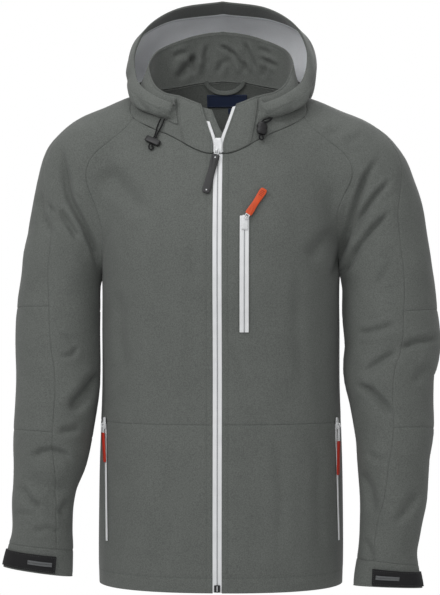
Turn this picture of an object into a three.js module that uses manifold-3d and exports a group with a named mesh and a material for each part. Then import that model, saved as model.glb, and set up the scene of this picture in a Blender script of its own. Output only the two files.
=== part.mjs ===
// Hooded softshell jacket in its hollow worn form.
// Millimetres, +Z up, the front faces -Y and the wearer's left is +X. The origin is the neck's centre,
// level with the sides of the neck seam.
import * as THREE from 'three';
import * as BufferGeometryUtils from 'three/addons/utils/BufferGeometryUtils.js';
import Module from 'manifold-3d';

// Cloth and seams
const clothThickness = 1.6;
const liningThickness = 1.0;
const flapThickness = 1.5;
const strapThickness = 2.0;
const patchThickness = 0.8;
const seamTrim = 0.2;
const layerGap = 0.5;

// Body lengths, from the origin
const hemHeight = -754;
const waistHeight = -510;
const collarLift = 0.7;

// Zips
const zipTapeWidth = 13;
const zipTapeThickness = 1.4;
const zipBranchWidth = 4.5;

// Pocket zips: the panel, the zip's distance from the centre plane at its top and at its bottom
const pocketZips = {
  chest: { panel: 'upper', side: 'left', width: 13, top: -206, bottom: -375, x: [39.5, 39] },
  side_right: { panel: 'lower', side: 'right', width: 4, top: -513, bottom: -686, x: [-169, -166] },
  side_left: { panel: 'lower', side: 'left', width: 4, top: -513, bottom: -686, x: [172.5, 177] },
};

// Sliders: height of the middle, and the bar that its pull hangs on, up from the middle and across.
// The pull's free end is given as seen from the front, with how far it lies off the cloth.
const sliders = {
  main: { z: -102, width: 12, length: 24, bar: [-1, -8], link: 7.5, end: [-17, -173], lift: 3 },
  chest: { z: -216, width: 10, length: 22, bar: [1.5, 6], link: 7.5, end: [68, -167], lift: 3 },
  side_right: { z: -512, width: 8, length: 18, bar: [0, -3], link: 12, end: [-168, -570], lift: 3 },
  side_left: { z: -512, width: 8, length: 18, bar: [0, -3], link: 24, end: [174, -589], lift: 3 },
};
const pullSizes = {
  main: { width: 12, thickness: 2.4, colour: 'black' },
  chest: { width: 10.5, thickness: 2.2, colour: 'orange' },
  side_right: { width: 9, thickness: 2.2, colour: 'orange' },
  side_left: { width: 9, thickness: 2.2, colour: 'orange' },
};
const sliderThickness = 2.6;
const sliderGap = 0.4;

// Hood cords. Each comes out under the hood's roll, runs down through its lock, turns and goes back
// up beside itself. A lock's middle lies at centre, facing out, turned by tilt degrees.
const cordDiameter = 2.3;
const cordSides = 8;
const cordSteps = 20;
const cordRoutes = {
  right: [
    [-85.5, -86.5, -60], [-88.5, -87.3, -66], [-91, -88.9, -73], [-92.6, -90.6, -80],
    [-95.5, -92.8, -88.3], [-100.9, -95.3, -97.6], [-102.6, -96.4, -101.5], [-101.6, -97.5, -105.3],
    [-98.6, -98, -106.4], [-96.2, -97.6, -103.6], [-98.5, -96.4, -98.7], [-93.1, -93.9, -89.4],
    [-90.5, -91.8, -82.5], [-87, -89.8, -76], [-83.5, -88.4, -69], [-80.2, -87.6, -60.2],
  ],
  left: [
    [76.5, -91, -59.4], [73, -92.3, -60.9], [68, -94.3, -62.6], [64.2, -96.3, -65.7],
    [62, -103.1, -85.5], [60.3, -103.8, -88.5], [61.5, -104.4, -92], [64.5, -104, -92.8],
    [66.6, -103, -90], [64.4, -101.7, -86.3], [66.6, -94.9, -66.5], [71, -92.6, -66],
    [76, -90.3, -63.5], [79.5, -89, -59.6],
  ],
};
const cordLocks = {
  right: { centre: [-97, -94.6, -93.5], facing: [-0.24, -0.89, 0.38], tilt: 24 },
  left: { centre: [64.3, -99, -76], facing: [0.53, -0.82, 0.22], tilt: 15 },
};
const lockBar = { width: 25, depth: 7, height: 9, corner: 2.5 };
const lockBarrel = { width: 17, depth: 10, height: 19, neck: 0.75 };
const lockSlot = { width: 6.6, depth: 3.4, corner: 1.2 };

// Torso sections: half width, depth to the front and depth to the back at each height
const torsoSections = [
  { z: -800, half: 183, front: 139, back: 129 },
  { z: -700, half: 185, front: 142, back: 130 },
  { z: -600, half: 184, front: 140, back: 125 },
  { z: -518, half: 182, front: 136, back: 118 },
  { z: -450, half: 180, front: 134, back: 114 },
  { z: -380, half: 180, front: 138, back: 118 },
  { z: -300, half: 180, front: 145, back: 129 },
  { z: -230, half: 186, front: 143, back: 132 },
  { z: -160, half: 188, front: 127, back: 124 },
  { z: -100, half: 176, front: 105, back: 112 },
  { z: -60, half: 148, front: 86, back: 98 },
  { z: -30, half: 118, front: 72, back: 88 },
  { z: 0, half: 92, front: 60, back: 76 },
  { z: 40, half: 76, front: 48, back: 56 },
];
const torsoRoundness = 2.3;

// Sleeve sections along the arm's centre line: distance out from the centre plane, depth, height,
// half width seen from the front, half depth, and the over-arm seam's angle from the outermost line
const sleeveSections = {
  right: [
    { out: 20, y: 0, z: -50, wide: 60, deep: 58, seam: 0 },
    { out: 104, y: -2, z: -84, wide: 72, deep: 66, seam: 0 },
    { out: 149.5, y: -5, z: -103, wide: 72, deep: 69, seam: 4 },
    { out: 183.5, y: -7, z: -118, wide: 72, deep: 71, seam: 10 },
    { out: 200, y: -8, z: -135, wide: 72, deep: 71, seam: 20 },
    { out: 209, y: -9, z: -162, wide: 71, deep: 70, seam: 36 },
    { out: 218, y: -10, z: -205, wide: 71, deep: 69, seam: 60 },
    { out: 226.5, y: -12, z: -240, wide: 68.5, deep: 68, seam: 68 },
    { out: 236.5, y: -14, z: -270, wide: 64.5, deep: 66, seam: 74 },
    { out: 242, y: -16, z: -300, wide: 61, deep: 64, seam: 78 },
    { out: 244.5, y: -18, z: -328, wide: 62.5, deep: 63, seam: 82 },
    { out: 245.5, y: -24, z: -396, wide: 64.5, deep: 62, seam: 86 },
    { out: 244.5, y: -30, z: -452, wide: 63.5, deep: 60, seam: 92 },
    { out: 251, y: -37, z: -524, wide: 60, deep: 57, seam: 95 },
    { out: 255, y: -42, z: -564, wide: 56, deep: 53, seam: 100 },
    { out: 262, y: -46, z: -602, wide: 48.5, deep: 48, seam: 117 },
    { out: 265.5, y: -50, z: -636, wide: 46, deep: 45, seam: 123 },
    { out: 266, y: -53, z: -672, wide: 45.5, deep: 41, seam: 127 },
    { out: 267, y: -55, z: -693, wide: 48, deep: 37, seam: 131 },
    { out: 272.5, y: -57, z: -737, wide: 53, deep: 32, seam: 137 },
    { out: 275.5, y: -58, z: -757, wide: 54, deep: 31, seam: 138 },
  ],
  left: [
    { out: 20, y: 0, z: -54, wide: 60, deep: 58, seam: 0 },
    { out: 106, y: -2, z: -90, wide: 73, deep: 66, seam: 0 },
    { out: 152, y: -5, z: -109, wide: 73, deep: 69, seam: 4 },
    { out: 191, y: -7, z: -127, wide: 74, deep: 72, seam: 12 },
    { out: 210, y: -8, z: -145, wide: 75, deep: 72, seam: 28 },
    { out: 221.5, y: -9, z: -172, wide: 75, deep: 71, seam: 44 },
    { out: 231.5, y: -10, z: -205, wide: 75, deep: 70, seam: 60 },
    { out: 240.5, y: -12, z: -243, wide: 72.5, deep: 68, seam: 65 },
    { out: 247.5, y: -14, z: -273, wide: 70.5, deep: 66, seam: 68 },
    { out: 252.5, y: -16, z: -303, wide: 69.5, deep: 65, seam: 70 },
    { out: 254.5, y: -18, z: -345, wide: 71.5, deep: 65, seam: 73 },
    { out: 259, y: -22, z: -397, wide: 72, deep: 64, seam: 79 },
    { out: 253.5, y: -27, z: -435, wide: 69, deep: 62, seam: 84 },
    { out: 257, y: -31, z: -477, wide: 63, deep: 60, seam: 90 },
    { out: 261, y: -36, z: -527, wide: 59, deep: 56, seam: 93 },
    { out: 259, y: -41, z: -564, wide: 54, deep: 52, seam: 98 },
    { out: 259, y: -46, z: -621, wide: 50, deep: 47, seam: 108 },
    { out: 254.5, y: -50, z: -667, wide: 46, deep: 42, seam: 121 },
    { out: 250.5, y: -53, z: -701, wide: 44, deep: 38, seam: 124 },
    { out: 249.5, y: -55, z: -736, wide: 49, deep: 34, seam: 127 },
    { out: 250.5, y: -57, z: -761, wide: 52, deep: 31, seam: 131 },
    { out: 251.5, y: -58, z: -780, wide: 53, deep: 30, seam: 132 },
  ],
};

// Heights of the sleeves' cross seams and cuff straps, and the cuff's slope down to the outside
const sleeveEnds = {
  right: { elbowTop: -343, elbowBottom: -530, cuffTop: -697, strapTop: -707, cuffEnd: -734, tilt: 0 },
  left: { elbowTop: -350, elbowBottom: -522, cuffTop: -717, strapTop: -728, cuffEnd: -754, tilt: 0.08 },
};
const cuffStrap = { width: 24, patchDrop: 9, patchWidth: 6 };

// The neck seam and the collar's rim by plan angle from the centre front, as a plan reach and a height
const neckSeam = [
  { angle: 0, reach: 97, z: -107.5 },
  { angle: 10, reach: 98, z: -106 },
  { angle: 20.5, reach: 102, z: -100 },
  { angle: 29, reach: 108, z: -93 },
  { angle: 39.6, reach: 113, z: -83 },
  { angle: 50.7, reach: 121, z: -73 },
  { angle: 63.2, reach: 134, z: -57 },
  { angle: 76, reach: 125, z: -26 },
  { angle: 90, reach: 113, z: -10 },
  { angle: 110, reach: 106, z: -3 },
  { angle: 130, reach: 94, z: 4 },
  { angle: 152, reach: 81, z: 10 },
  { angle: 180, reach: 75, z: 14 },
];
const collarRim = [
  { angle: 0, reach: 86, z: -46 },
  { angle: 17, reach: 89, z: -39 },
  { angle: 39.7, reach: 98, z: -24 },
  { angle: 50.5, reach: 104, z: -19 },
  { angle: 62.5, reach: 108, z: -7 },
  { angle: 77, reach: 110, z: 17 },
  { angle: 90, reach: 110, z: 33 },
  { angle: 110, reach: 101, z: 58 },
  { angle: 132, reach: 76, z: 76 },
  { angle: 155, reach: 63, z: 84 },
  { angle: 180, reach: 58, z: 87 },
];
const frontCornerAngle = 63.2;
const backCornerAngle = 130;

// Raglan seams from the neck down to the underarm, before the points are put on the cloth
const raglanFront = [
  { out: 143, y: -72, z: -73 },
  { out: 166, y: -78, z: -91 },
  { out: 187, y: -80, z: -110 },
  { out: 199, y: -82, z: -129 },
  { out: 204, y: -84, z: -150 },
  { out: 200, y: -85, z: -174 },
  { out: 190, y: -82, z: -200 },
];
const raglanBack = [
  { out: 94, y: 74, z: -20 },
  { out: 122, y: 80, z: -48 },
  { out: 150, y: 84, z: -80 },
  { out: 172, y: 85, z: -112 },
  { out: 184, y: 85, z: -140 },
  { out: 189, y: 82, z: -168 },
  { out: 187, y: 76, z: -196 },
];
const creaseRises = [68, 48, 28, 13, 4];

// The largest folds: a path seen from the front as [x, z], how far the cloth sinks, half its width, and
// the side that it shows on (-1 front, 1 back, 0 all round)
const folds = [
  { path: [[-240, -91], [-226, -168], [-200, -219], [-181, -290]], sink: 9, width: 14, facing: -1 },
  { path: [[-240, -198], [-223, -220], [-209, -239]], sink: 4, width: 10, facing: -1 },
  { path: [[-271, -167], [-263, -204], [-249, -232]], sink: 3.5, width: 11, facing: -1 },
  { path: [[-173, -130], [-139, -163], [-110, -203]], sink: 3.5, width: 24, facing: -1 },
  { path: [[-149, -309], [-145, -373], [-132, -475]], sink: 3, width: 24, facing: -1 },
  { path: [[-221, -492], [-198, -465], [-186, -439]], sink: 4, width: 13, facing: -1 },
  { path: [[-284, -563], [-252, -549], [-221, -566]], sink: 5, width: 12, facing: -1 },
  { path: [[-298, -597], [-255, -604], [-220, -618]], sink: 6, width: 13, facing: 0 },
  { path: [[240, -116], [208, -168], [181, -243], [171, -300]], sink: 8, width: 14, facing: -1 },
  { path: [[255, -148], [209, -210], [192, -244]], sink: 5, width: 12, facing: -1 },
  { path: [[255, -196], [224, -232], [191, -286]], sink: 5, width: 12, facing: -1 },
  { path: [[172, -221], [148, -245], [134, -268]], sink: 3, width: 20, facing: -1 },
  { path: [[327, -384], [260, -401], [208, -444]], sink: 5, width: 13, facing: -1 },
  { path: [[210, -455], [237, -471], [254, -500]], sink: 5, width: 12, facing: -1 },
  { path: [[210, -583], [223, -607], [230, -643]], sink: 4, width: 12, facing: -1 },
  { path: [[294, -609], [278, -631], [260, -650]], sink: 4, width: 12, facing: -1 },
  { path: [[-240, -100], [-226, -170], [-203, -225], [-184, -290]], sink: 7, width: 15, facing: 1 },
  { path: [[244, -110], [216, -170], [190, -232], [178, -295]], sink: 7, width: 15, facing: 1 },
  { path: [[-70, -170], [-84, -300], [-66, -440]], sink: 4, width: 28, facing: 1 },
  { path: [[62, -190], [78, -310], [52, -450]], sink: 4, width: 28, facing: 1 },
  { path: [[-300, -400], [-262, -420], [-214, -462]], sink: 5, width: 13, facing: 1 },
  { path: [[308, -420], [268, -440], [220, -470]], sink: 5, width: 13, facing: 1 },
  { path: [[-292, -560], [-262, -580], [-226, -566]], sink: 4, width: 12, facing: 1 },
  { path: [[296, -590], [262, -610], [222, -600]], sink: 4, width: 12, facing: 1 },
];

// Hood guide lines from the front end (along 0) to the centre back (along 1), wearer's left side.
// The hood is sewn on the collar at the angle and share of the collar's height in the first table.
const hoodSeam = [
  { along: 0, angle: 43, share: 0.4 },
  { along: 0.15, angle: 50, share: 0.38 },
  { along: 0.3, angle: 63, share: 0.46 },
  { along: 0.42, angle: 78, share: 0.4 },
  { along: 0.55, angle: 96, share: 0.24 },
  { along: 0.7, angle: 115, share: 0.15 },
  { along: 0.85, angle: 144, share: 0.12 },
  { along: 1, angle: 180, share: 0.12 },
];
const hoodInner = [
  { along: 0, x: 74, y: -87, z: -61 },
  { along: 0.15, x: 92, y: -81, z: -56 },
  { along: 0.3, x: 121, y: -62, z: -38 },
  { along: 0.42, x: 131, y: -27, z: -9 },
  { along: 0.55, x: 120, y: 12, z: -3 },
  { along: 0.7, x: 104, y: 48, z: -2 },
  { along: 0.85, x: 62, y: 88, z: -16 },
  { along: 1, x: 0, y: 106, z: -32 },
];
const hoodBottom = [
  { along: 0, x: 73, y: -92.5, z: -57 },
  { along: 0.15, x: 97, y: -88, z: -53 },
  { along: 0.3, x: 129, y: -67, z: -35 },
  { along: 0.42, x: 139, y: -28, z: -7 },
  { along: 0.55, x: 134, y: 16, z: -9 },
  { along: 0.7, x: 130, y: 78, z: -28 },
  { along: 0.85, x: 88, y: 138, z: -62 },
  { along: 1, x: 0, y: 158, z: -84 },
];
const hoodOuter = [
  { along: 0, x: 71, y: -96.5, z: -49 },
  { along: 0.15, x: 99, y: -91, z: -41 },
  { along: 0.3, x: 131, y: -64, z: -20 },
  { along: 0.42, x: 142, y: -23, z: 8 },
  { along: 0.55, x: 144, y: 20, z: 26 },
  { along: 0.7, x: 142, y: 80, z: 30 },
  { along: 0.85, x: 104, y: 150, z: 15 },
  { along: 1, x: 0, y: 188, z: -5 },
];
const hoodCrown = [
  { along: 0, x: 69, y: -95, z: -42 },
  { along: 0.15, x: 98, y: -87, z: -32 },
  { along: 0.3, x: 128, y: -58, z: -10 },
  { along: 0.42, x: 139, y: -18, z: 20 },
  { along: 0.55, x: 140, y: 18, z: 48 },
  { along: 0.7, x: 132, y: 62, z: 74 },
  { along: 0.85, x: 90, y: 118, z: 88 },
  { along: 1, x: 0, y: 146, z: 96 },
];
const hoodRim = [
  { along: 0, x: 67, y: -91.5, z: -38 },
  { along: 0.15, x: 94, y: -80, z: -26 },
  { along: 0.3, x: 120, y: -53, z: -4 },
  { along: 0.42, x: 131, y: -16, z: 28 },
  { along: 0.55, x: 130, y: 10, z: 60 },
  { along: 0.7, x: 110, y: 30, z: 96 },
  { along: 0.85, x: 66, y: 48, z: 123 },
  { along: 1, x: 0, y: 58, z: 134 },
];
const hoodBandWidth = 22;

// Colours and finishes
function cloth(colour) {
  return new THREE.MeshStandardMaterial({ color: colour, roughness: 0.85, metalness: 0 });
}

function plastic(colour) {
  return new THREE.MeshStandardMaterial({ color: colour, roughness: 0.45, metalness: 0 });
}

const colours = {
  shell: 0x5f625f,
  white: 0xe9eaea,
  lining: 0xd9dcdd,
  black: 0x1c1c1e,
  orange: 0xd2480f,
  navy: 0x1f2a44,
  grey: 0x8d8f90,
};

const jacket = new THREE.Group();

function addPiece(name, geometry, material) {
  const mesh = new THREE.Mesh(geometry, material);
  mesh.name = name;
  jacket.add(mesh);
  return mesh;
}

// Vectors are plain arrays of three numbers
function add(a, b, scale = 1) {
  return [a[0] + b[0] * scale, a[1] + b[1] * scale, a[2] + b[2] * scale];
}

function subtract(a, b) {
  return add(a, b, -1);
}

function dot(a, b) {
  return a[0] * b[0] + a[1] * b[1] + a[2] * b[2];
}

function cross(a, b) {
  return [a[1] * b[2] - a[2] * b[1], a[2] * b[0] - a[0] * b[2], a[0] * b[1] - a[1] * b[0]];
}

function unit(a) {
  const size = Math.hypot(...a);
  return a.map((value) => value / size);
}

function mix(a, b, share) {
  return a + (b - a) * share;
}

function mixPoints(a, b, share) {
  return a.map((value, i) => mix(value, b[i], share));
}

function clamp(value, low, high) {
  return Math.min(Math.max(value, low), high);
}

function smoothStep(from, to, value) {
  const share = clamp((value - from) / (to - from), 0, 1);
  return share * share * (3 - 2 * share);
}

function radians(degrees) {
  return (degrees * Math.PI) / 180;
}

// A smooth reading of one column of a table whose rows rise in the key column
function smoothColumn(rows, key, column) {
  const at = rows.map((row) => row[key]);
  const value = rows.map((row) => row[column]);
  const slope = value.map((unused, i) => {
    const before = Math.max(i - 1, 0);
    const after = Math.min(i + 1, value.length - 1);
    return (value[after] - value[before]) / (at[after] - at[before]);
  });
  return (position) => {
    let i = 0;
    while (i < at.length - 2 && position > at[i + 1]) i += 1;
    const step = at[i + 1] - at[i];
    const t = clamp((position - at[i]) / step, 0, 1);
    const s = 1 - t;
    const start = value[i] * (1 + 2 * t) + slope[i] * step * t;
    const end = value[i + 1] * (1 + 2 * s) - slope[i + 1] * step * s;
    return start * s * s + end * t * t;
  };
}

const torsoHalf = smoothColumn(torsoSections, 'z', 'half');
const torsoFront = smoothColumn(torsoSections, 'z', 'front');
const torsoBack = smoothColumn(torsoSections, 'z', 'back');

// How far a point lies outside the torso, negative inside
function torsoDistance([x, y, z]) {
  const across = Math.abs(x) / torsoHalf(z);
  const through = Math.abs(y) / (y < 0 ? torsoFront(z) : torsoBack(z));
  const ratio = (across ** torsoRoundness + through ** torsoRoundness) ** (1 / torsoRoundness);
  const reach = Math.hypot(x, y);
  return ratio < 0.05 ? -50 : reach * (1 - 1 / ratio);
}

function smoothCurve(points) {
  const knots = points.map((point) => new THREE.Vector3(...point));
  return new THREE.CatmullRomCurve3(knots, false, 'centripetal');
}

// The arm's centre line as close stations, with the sleeve's size and seam angle at each
function sleeveStations(side) {
  const rows = sleeveSections[side];
  const sign = side === 'left' ? 1 : -1;
  const curve = smoothCurve(rows.map((row) => [sign * row.out, row.y, row.z]));
  const numbered = rows.map((row, index) => ({ ...row, index }));
  const columns = ['wide', 'deep', 'seam'].map((name) => smoothColumn(numbered, 'index', name));
  const perRow = 4;
  const last = (rows.length - 1) * perRow;
  const stations = [];
  let travelled = 0;
  for (let i = 0; i <= last; i += 1) {
    const point = curve.getPoint(i / last).toArray();
    if (i > 0) travelled += Math.hypot(...subtract(point, stations[i - 1].point));
    const [wide, deep, seam] = columns.map((read) => read(i / perRow));
    stations.push({ point, wide, deep, seam, travelled });
  }
  return stations;
}

const sleeveLines = { right: sleeveStations('right'), left: sleeveStations('left') };

// How far a point lies outside a sleeve, negative inside
function sleeveDistance(p, side) {
  const stations = sleeveLines[side];
  let nearest = Infinity;
  let best = 0;
  let share = 0;
  for (let i = 0; i < stations.length - 1; i += 1) {
    const start = stations[i].point;
    const run = subtract(stations[i + 1].point, start);
    const t = clamp(dot(subtract(p, start), run) / dot(run, run), 0, 1);
    const away = subtract(p, add(start, run, t));
    const distance = dot(away, away);
    if (distance < nearest) {
      nearest = distance;
      best = i;
      share = t;
    }
  }
  const from = stations[best];
  const to = stations[best + 1];
  const centre = mixPoints(from.point, to.point, share);
  const inPlane = Math.hypot(p[0] - centre[0], p[2] - centre[2]);
  const depth = p[1] - centre[1];
  const wide = mix(from.wide, to.wide, share);
  const deep = mix(from.deep, to.deep, share);
  const ratio = Math.hypot(inPlane / wide, depth / deep);
  return ratio < 0.05 ? -40 : Math.hypot(inPlane, depth) * (1 - 1 / ratio);
}

// The height where the sleeve first touches the torso's side
function underarmHeight(side) {
  const sign = side === 'left' ? 1 : -1;
  let low = -340;
  let high = -240;
  for (let i = 0; i < 30; i += 1) {
    const middle = (low + high) / 2;
    const touch = sleeveDistance([sign * torsoHalf(middle), 0, middle], side);
    if (touch > 0) low = middle;
    else high = middle;
  }
  return (low + high) / 2;
}

const underarm = { right: underarmHeight('right'), left: underarmHeight('left') };
const blendReach = 30;
const blendRise = 90;

function smoothUnion(a, b, reach) {
  if (reach < 0.01) return Math.min(a, b);
  const near = Math.max(reach - Math.abs(a - b), 0) / reach;
  return Math.min(a, b) - (near * near * reach) / 4;
}

// How far the folds sink the cloth at a point
function foldSink([x, y, z]) {
  const middle = -8 + Math.min(0, z + 200) * 0.085;
  let sink = 0;
  for (const fold of folds) {
    const steps = fold.path.length - 1;
    let nearest = Infinity;
    let along = 0;
    for (let i = 0; i < steps; i += 1) {
      const [x0, z0] = fold.path[i];
      const [x1, z1] = fold.path[i + 1];
      const run = [x1 - x0, z1 - z0];
      const reach = run[0] ** 2 + run[1] ** 2;
      const t = clamp(((x - x0) * run[0] + (z - z0) * run[1]) / reach, 0, 1);
      const distance = Math.hypot(x - x0 - run[0] * t, z - z0 - run[1] * t);
      if (distance < nearest) {
        nearest = distance;
        along = (i + t) / steps;
      }
    }
    if (nearest > 3 * fold.width) continue;
    const shown = fold.facing === 0 ? 1 : smoothStep(5, 35, fold.facing * (y - middle));
    const taper = smoothStep(0, 0.3, along) * smoothStep(0, 0.3, 1 - along);
    sink += fold.sink * shown * taper * Math.exp(-((nearest / fold.width) ** 2));
  }
  return sink;
}

// The cloth's outer surface is where these are zero. Below the underarm the torso and the sleeve are
// two tubes that stay clear of each other, and above it they are one rounded form.
function bodyForm(p) {
  const side = p[0] < 0 ? 'right' : 'left';
  const above = p[2] - underarm[side];
  const torso = torsoDistance(p);
  if (above < 0.5) return torso + foldSink(p);
  const reach = blendReach * smoothStep(0, blendRise, above);
  return smoothUnion(torso, sleeveDistance(p, side), reach) + foldSink(p);
}

// The sleeve's own form, which stops short of the torso's cloth wherever they would cross
const sideClearance = 3;

function sleeveForm(p) {
  const side = p[0] < 0 ? 'right' : 'left';
  const above = p[2] - underarm[side];
  const sink = foldSink(p);
  const torso = torsoDistance(p);
  const sleeve = sleeveDistance(p, side);
  const reach = blendReach * smoothStep(0, blendRise, above);
  const whole = above < 0.5 ? sleeve : smoothUnion(torso, sleeve, reach);
  const clear = sideClearance * clamp(-above / 8, 0, 1) - 5 * Math.max(0, above - 60);
  return Math.max(whole + sink, clear - torso - sink);
}

// The point where a ray from inside first reaches the cloth, with the cloth's outward direction there
function onCloth(form, from, direction) {
  const step = 6;
  const ray = unit(direction);
  let inside = 0;
  let outside = step;
  while (form(add(from, ray, outside)) < 0 && outside < 400) {
    inside = outside;
    outside += step;
  }
  for (let i = 0; i < 22; i += 1) {
    const middle = (inside + outside) / 2;
    if (form(add(from, ray, middle)) < 0) inside = middle;
    else outside = middle;
  }
  const point = add(from, ray, (inside + outside) / 2);
  return { point, normal: clothNormal(form, point) };
}

function clothNormal(form, point) {
  const reach = 4;
  const slope = [0, 1, 2].map((axis) => {
    const ahead = [...point];
    const behind = [...point];
    ahead[axis] += reach;
    behind[axis] -= reach;
    return form(ahead) - form(behind);
  });
  return unit(slope);
}

function planDirection(angle, sign, rise = 0) {
  return [sign * Math.sin(radians(angle)), -Math.cos(radians(angle)), rise];
}

// Points of the neck seam, found from a point on the neck's axis
const neckAxisPoint = [0, 0, -60];
const neckReach = smoothColumn(neckSeam, 'angle', 'reach');
const neckHeight = smoothColumn(neckSeam, 'angle', 'z');

function neckPoint(angle, sign) {
  const rise = (neckHeight(angle) - neckAxisPoint[2]) / neckReach(angle);
  return onCloth(bodyForm, neckAxisPoint, planDirection(angle, sign, rise));
}

// Seam points on the cloth, each looked for from the torso's middle plane
function seamPoint(row, sign) {
  const from = [sign * row.out * 0.5, 0, row.z];
  return onCloth(bodyForm, from, subtract([sign * row.out, row.y, row.z], from));
}

function signOf(side) {
  return side === 'left' ? 1 : -1;
}

// Four panels meet at the underarm, where the cloth turns down from the torso and from the sleeve
const underarmNormal = [0, 0, -1];

// Just above the underarm the seam runs in the crease where torso and sleeve cross
function creasePoint(side, rise, facing) {
  const sign = signOf(side);
  const z = underarm[side] + rise;
  const torsoCloth = (p) => torsoDistance(p) + foldSink(p);
  let inside = 90;
  let outside = facing < 0 ? 40 : 140;
  let point;
  for (let i = 0; i < 30; i += 1) {
    const angle = (inside + outside) / 2;
    point = onCloth(torsoCloth, [0, 0, z], planDirection(angle, sign)).point;
    if (sleeveDistance(point, side) + foldSink(point) < 0) inside = angle;
    else outside = angle;
  }
  const crease = onCloth(bodyForm, add(point, [0, facing, 0], -10), [0, facing, 0]).point;
  const sleeveCloth = (p) => sleeveDistance(p, side) + foldSink(p);
  const normal = unit(add(clothNormal(torsoCloth, crease), clothNormal(sleeveCloth, crease)));
  return { point: crease, normal };
}

// From the neck corner down to the underarm
function raglanSeam(side, rows, cornerAngle) {
  const sign = signOf(side);
  const facing = cornerAngle < 90 ? -1 : 1;
  const corner = neckPoint(cornerAngle, sign);
  const middle = rows.map((row) => seamPoint(row, sign));
  middle.push(...creaseRises.map((rise) => creasePoint(side, rise, facing)));
  const end = onCloth(bodyForm, [sign * 90, 0, underarm[side]], [sign, 0, 0]);
  return [corner, ...middle, { point: end.point, normal: underarmNormal }];
}

const seams = {};
for (const side of ['right', 'left']) {
  seams[side] = {
    front: raglanSeam(side, raglanFront, frontCornerAngle),
    back: raglanSeam(side, raglanBack, backCornerAngle),
  };
}

// Heights of the torso's rows below the underarm
function evenSteps(from, to, count) {
  return Array.from({ length: count + 1 }, (unused, i) => mix(from, to, i / count));
}

const lowerHeights = evenSteps(hemHeight, waistHeight, 7);
function upperHeights(side) {
  return evenSteps(waistHeight, underarm[side], 7).slice(0, -1);
}

// A torso row from one boundary point to the other, by plan angle, on level rays from the axis
function planAngle(point) {
  return (Math.atan2(Math.abs(point[0]), -point[1]) * 180) / Math.PI;
}

function sidePoint(side, z) {
  return onCloth(bodyForm, [0, 0, z], [signOf(side), 0, 0]);
}

// Where the front panel meets the zip tape
function zipEdgePoint(side, z) {
  const x = signOf(side) * (zipTapeWidth / 2 + seamTrim);
  return onCloth(bodyForm, [x, 0, z], [0, -1, 0]);
}

const frontColumns = 9;
const backColumns = 18;

function frontRow(side, start, end, lift) {
  const sign = signOf(side);
  const from = planAngle(start.point);
  const to = planAngle(end.point);
  const row = [start];
  for (let i = 1; i < frontColumns; i += 1) {
    const share = i / frontColumns;
    const angle = mix(from, to, share);
    const z = mix(start.point[2], end.point[2], share) + lift(angle, share);
    row.push(onCloth(bodyForm, [0, 0, z], planDirection(angle, sign)));
  }
  row.push(end);
  return row;
}

function noLift() {
  return 0;
}

function frontLowerGrid(side) {
  return lowerHeights.map((z) => frontRow(side, zipEdgePoint(side, z), sidePoint(side, z), noLift));
}

function frontUpperGrid(side) {
  const sign = signOf(side);
  const below = upperHeights(side).map((z) => {
    return frontRow(side, zipEdgePoint(side, z), sidePoint(side, z), noLift);
  });
  const seam = [...seams[side].front].reverse();
  const top = neckEdgeHeight();
  const last = seam.length - 1;
  const corner = seam[last].point;
  const above = seam.map((end, i) => {
    const start = zipEdgePoint(side, mix(underarm[side], top, i / last));
    const bend = smoothStep(0, 1, i / last);
    const sag = (angle, share) => {
      return bend * (neckPoint(angle, sign).point[2] - mix(top, corner[2], share));
    };
    return frontRow(side, start, end, sag);
  });
  return [...below, ...above];
}

// The neck seam's height at the zip
function neckEdgeHeight() {
  return neckPoint(4, 1).point[2];
}

// The back from the hem to the neck seam, whose points rise towards the centre
function backGrid() {
  const right = [...lowerHeights, ...upperHeights('right').slice(1)].map((z) => sidePoint('right', z));
  const left = [...lowerHeights, ...upperHeights('left').slice(1)].map((z) => sidePoint('left', z));
  const seamStart = right.length;
  right.push(...[...seams.right.back].reverse());
  left.push(...[...seams.left.back].reverse());
  const last = right.length - 1;
  return right.map((start, i) => backRow(start, left[i], smoothStep(seamStart, last, i)));
}

function backRow(start, end, neckShare) {
  const from = planAngle(start.point);
  const to = 360 - planAngle(end.point);
  const corners = [-1, 1].map((sign) => neckPoint(backCornerAngle, sign).point[2]);
  const row = [start];
  for (let i = 1; i < backColumns; i += 1) {
    const share = i / backColumns;
    const turn = mix(from, to, share);
    const angle = turn > 180 ? 360 - turn : turn;
    const sign = turn > 180 ? 1 : -1;
    const neck = neckPoint(Math.max(angle, backCornerAngle), sign).point[2];
    const rise = neckShare * (neck - mix(corners[0], corners[1], share));
    const z = mix(start.point[2], end.point[2], share) + rise;
    row.push(onCloth(bodyForm, [0, 0, z], planDirection(angle, sign)));
  }
  row.push(end);
  return row;
}

// Sleeve rings. A ring turns from the front seam or the underarm over the outside to the back.
const frontSleeveColumns = 6;
const outerSleeveColumns = 12;

function stationAt(side, travelled) {
  const stations = sleeveLines[side];
  let i = 0;
  while (i < stations.length - 2 && travelled > stations[i + 1].travelled) i += 1;
  const from = stations[i];
  const to = stations[i + 1];
  const share = (travelled - from.travelled) / (to.travelled - from.travelled);
  const before = stations[Math.max(i - 1, 0)].point;
  const after = stations[Math.min(i + 2, stations.length - 1)].point;
  const down = unit(subtract(mixPoints(to.point, after, share), mixPoints(before, from.point, share)));
  const sign = signOf(side);
  const out = unit([-sign * down[2], 0, sign * down[0]]);
  const front = unit(add([0, -1, 0], down, down[1]));
  const seam = mix(from.seam, to.seam, share);
  return { point: mixPoints(from.point, to.point, share), down, out, front, seam };
}

function travelNear(side, p) {
  const away = sleeveLines[side].map((station) => Math.hypot(...subtract(p, station.point)));
  return sleeveLines[side][away.indexOf(Math.min(...away))].travelled;
}

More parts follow.
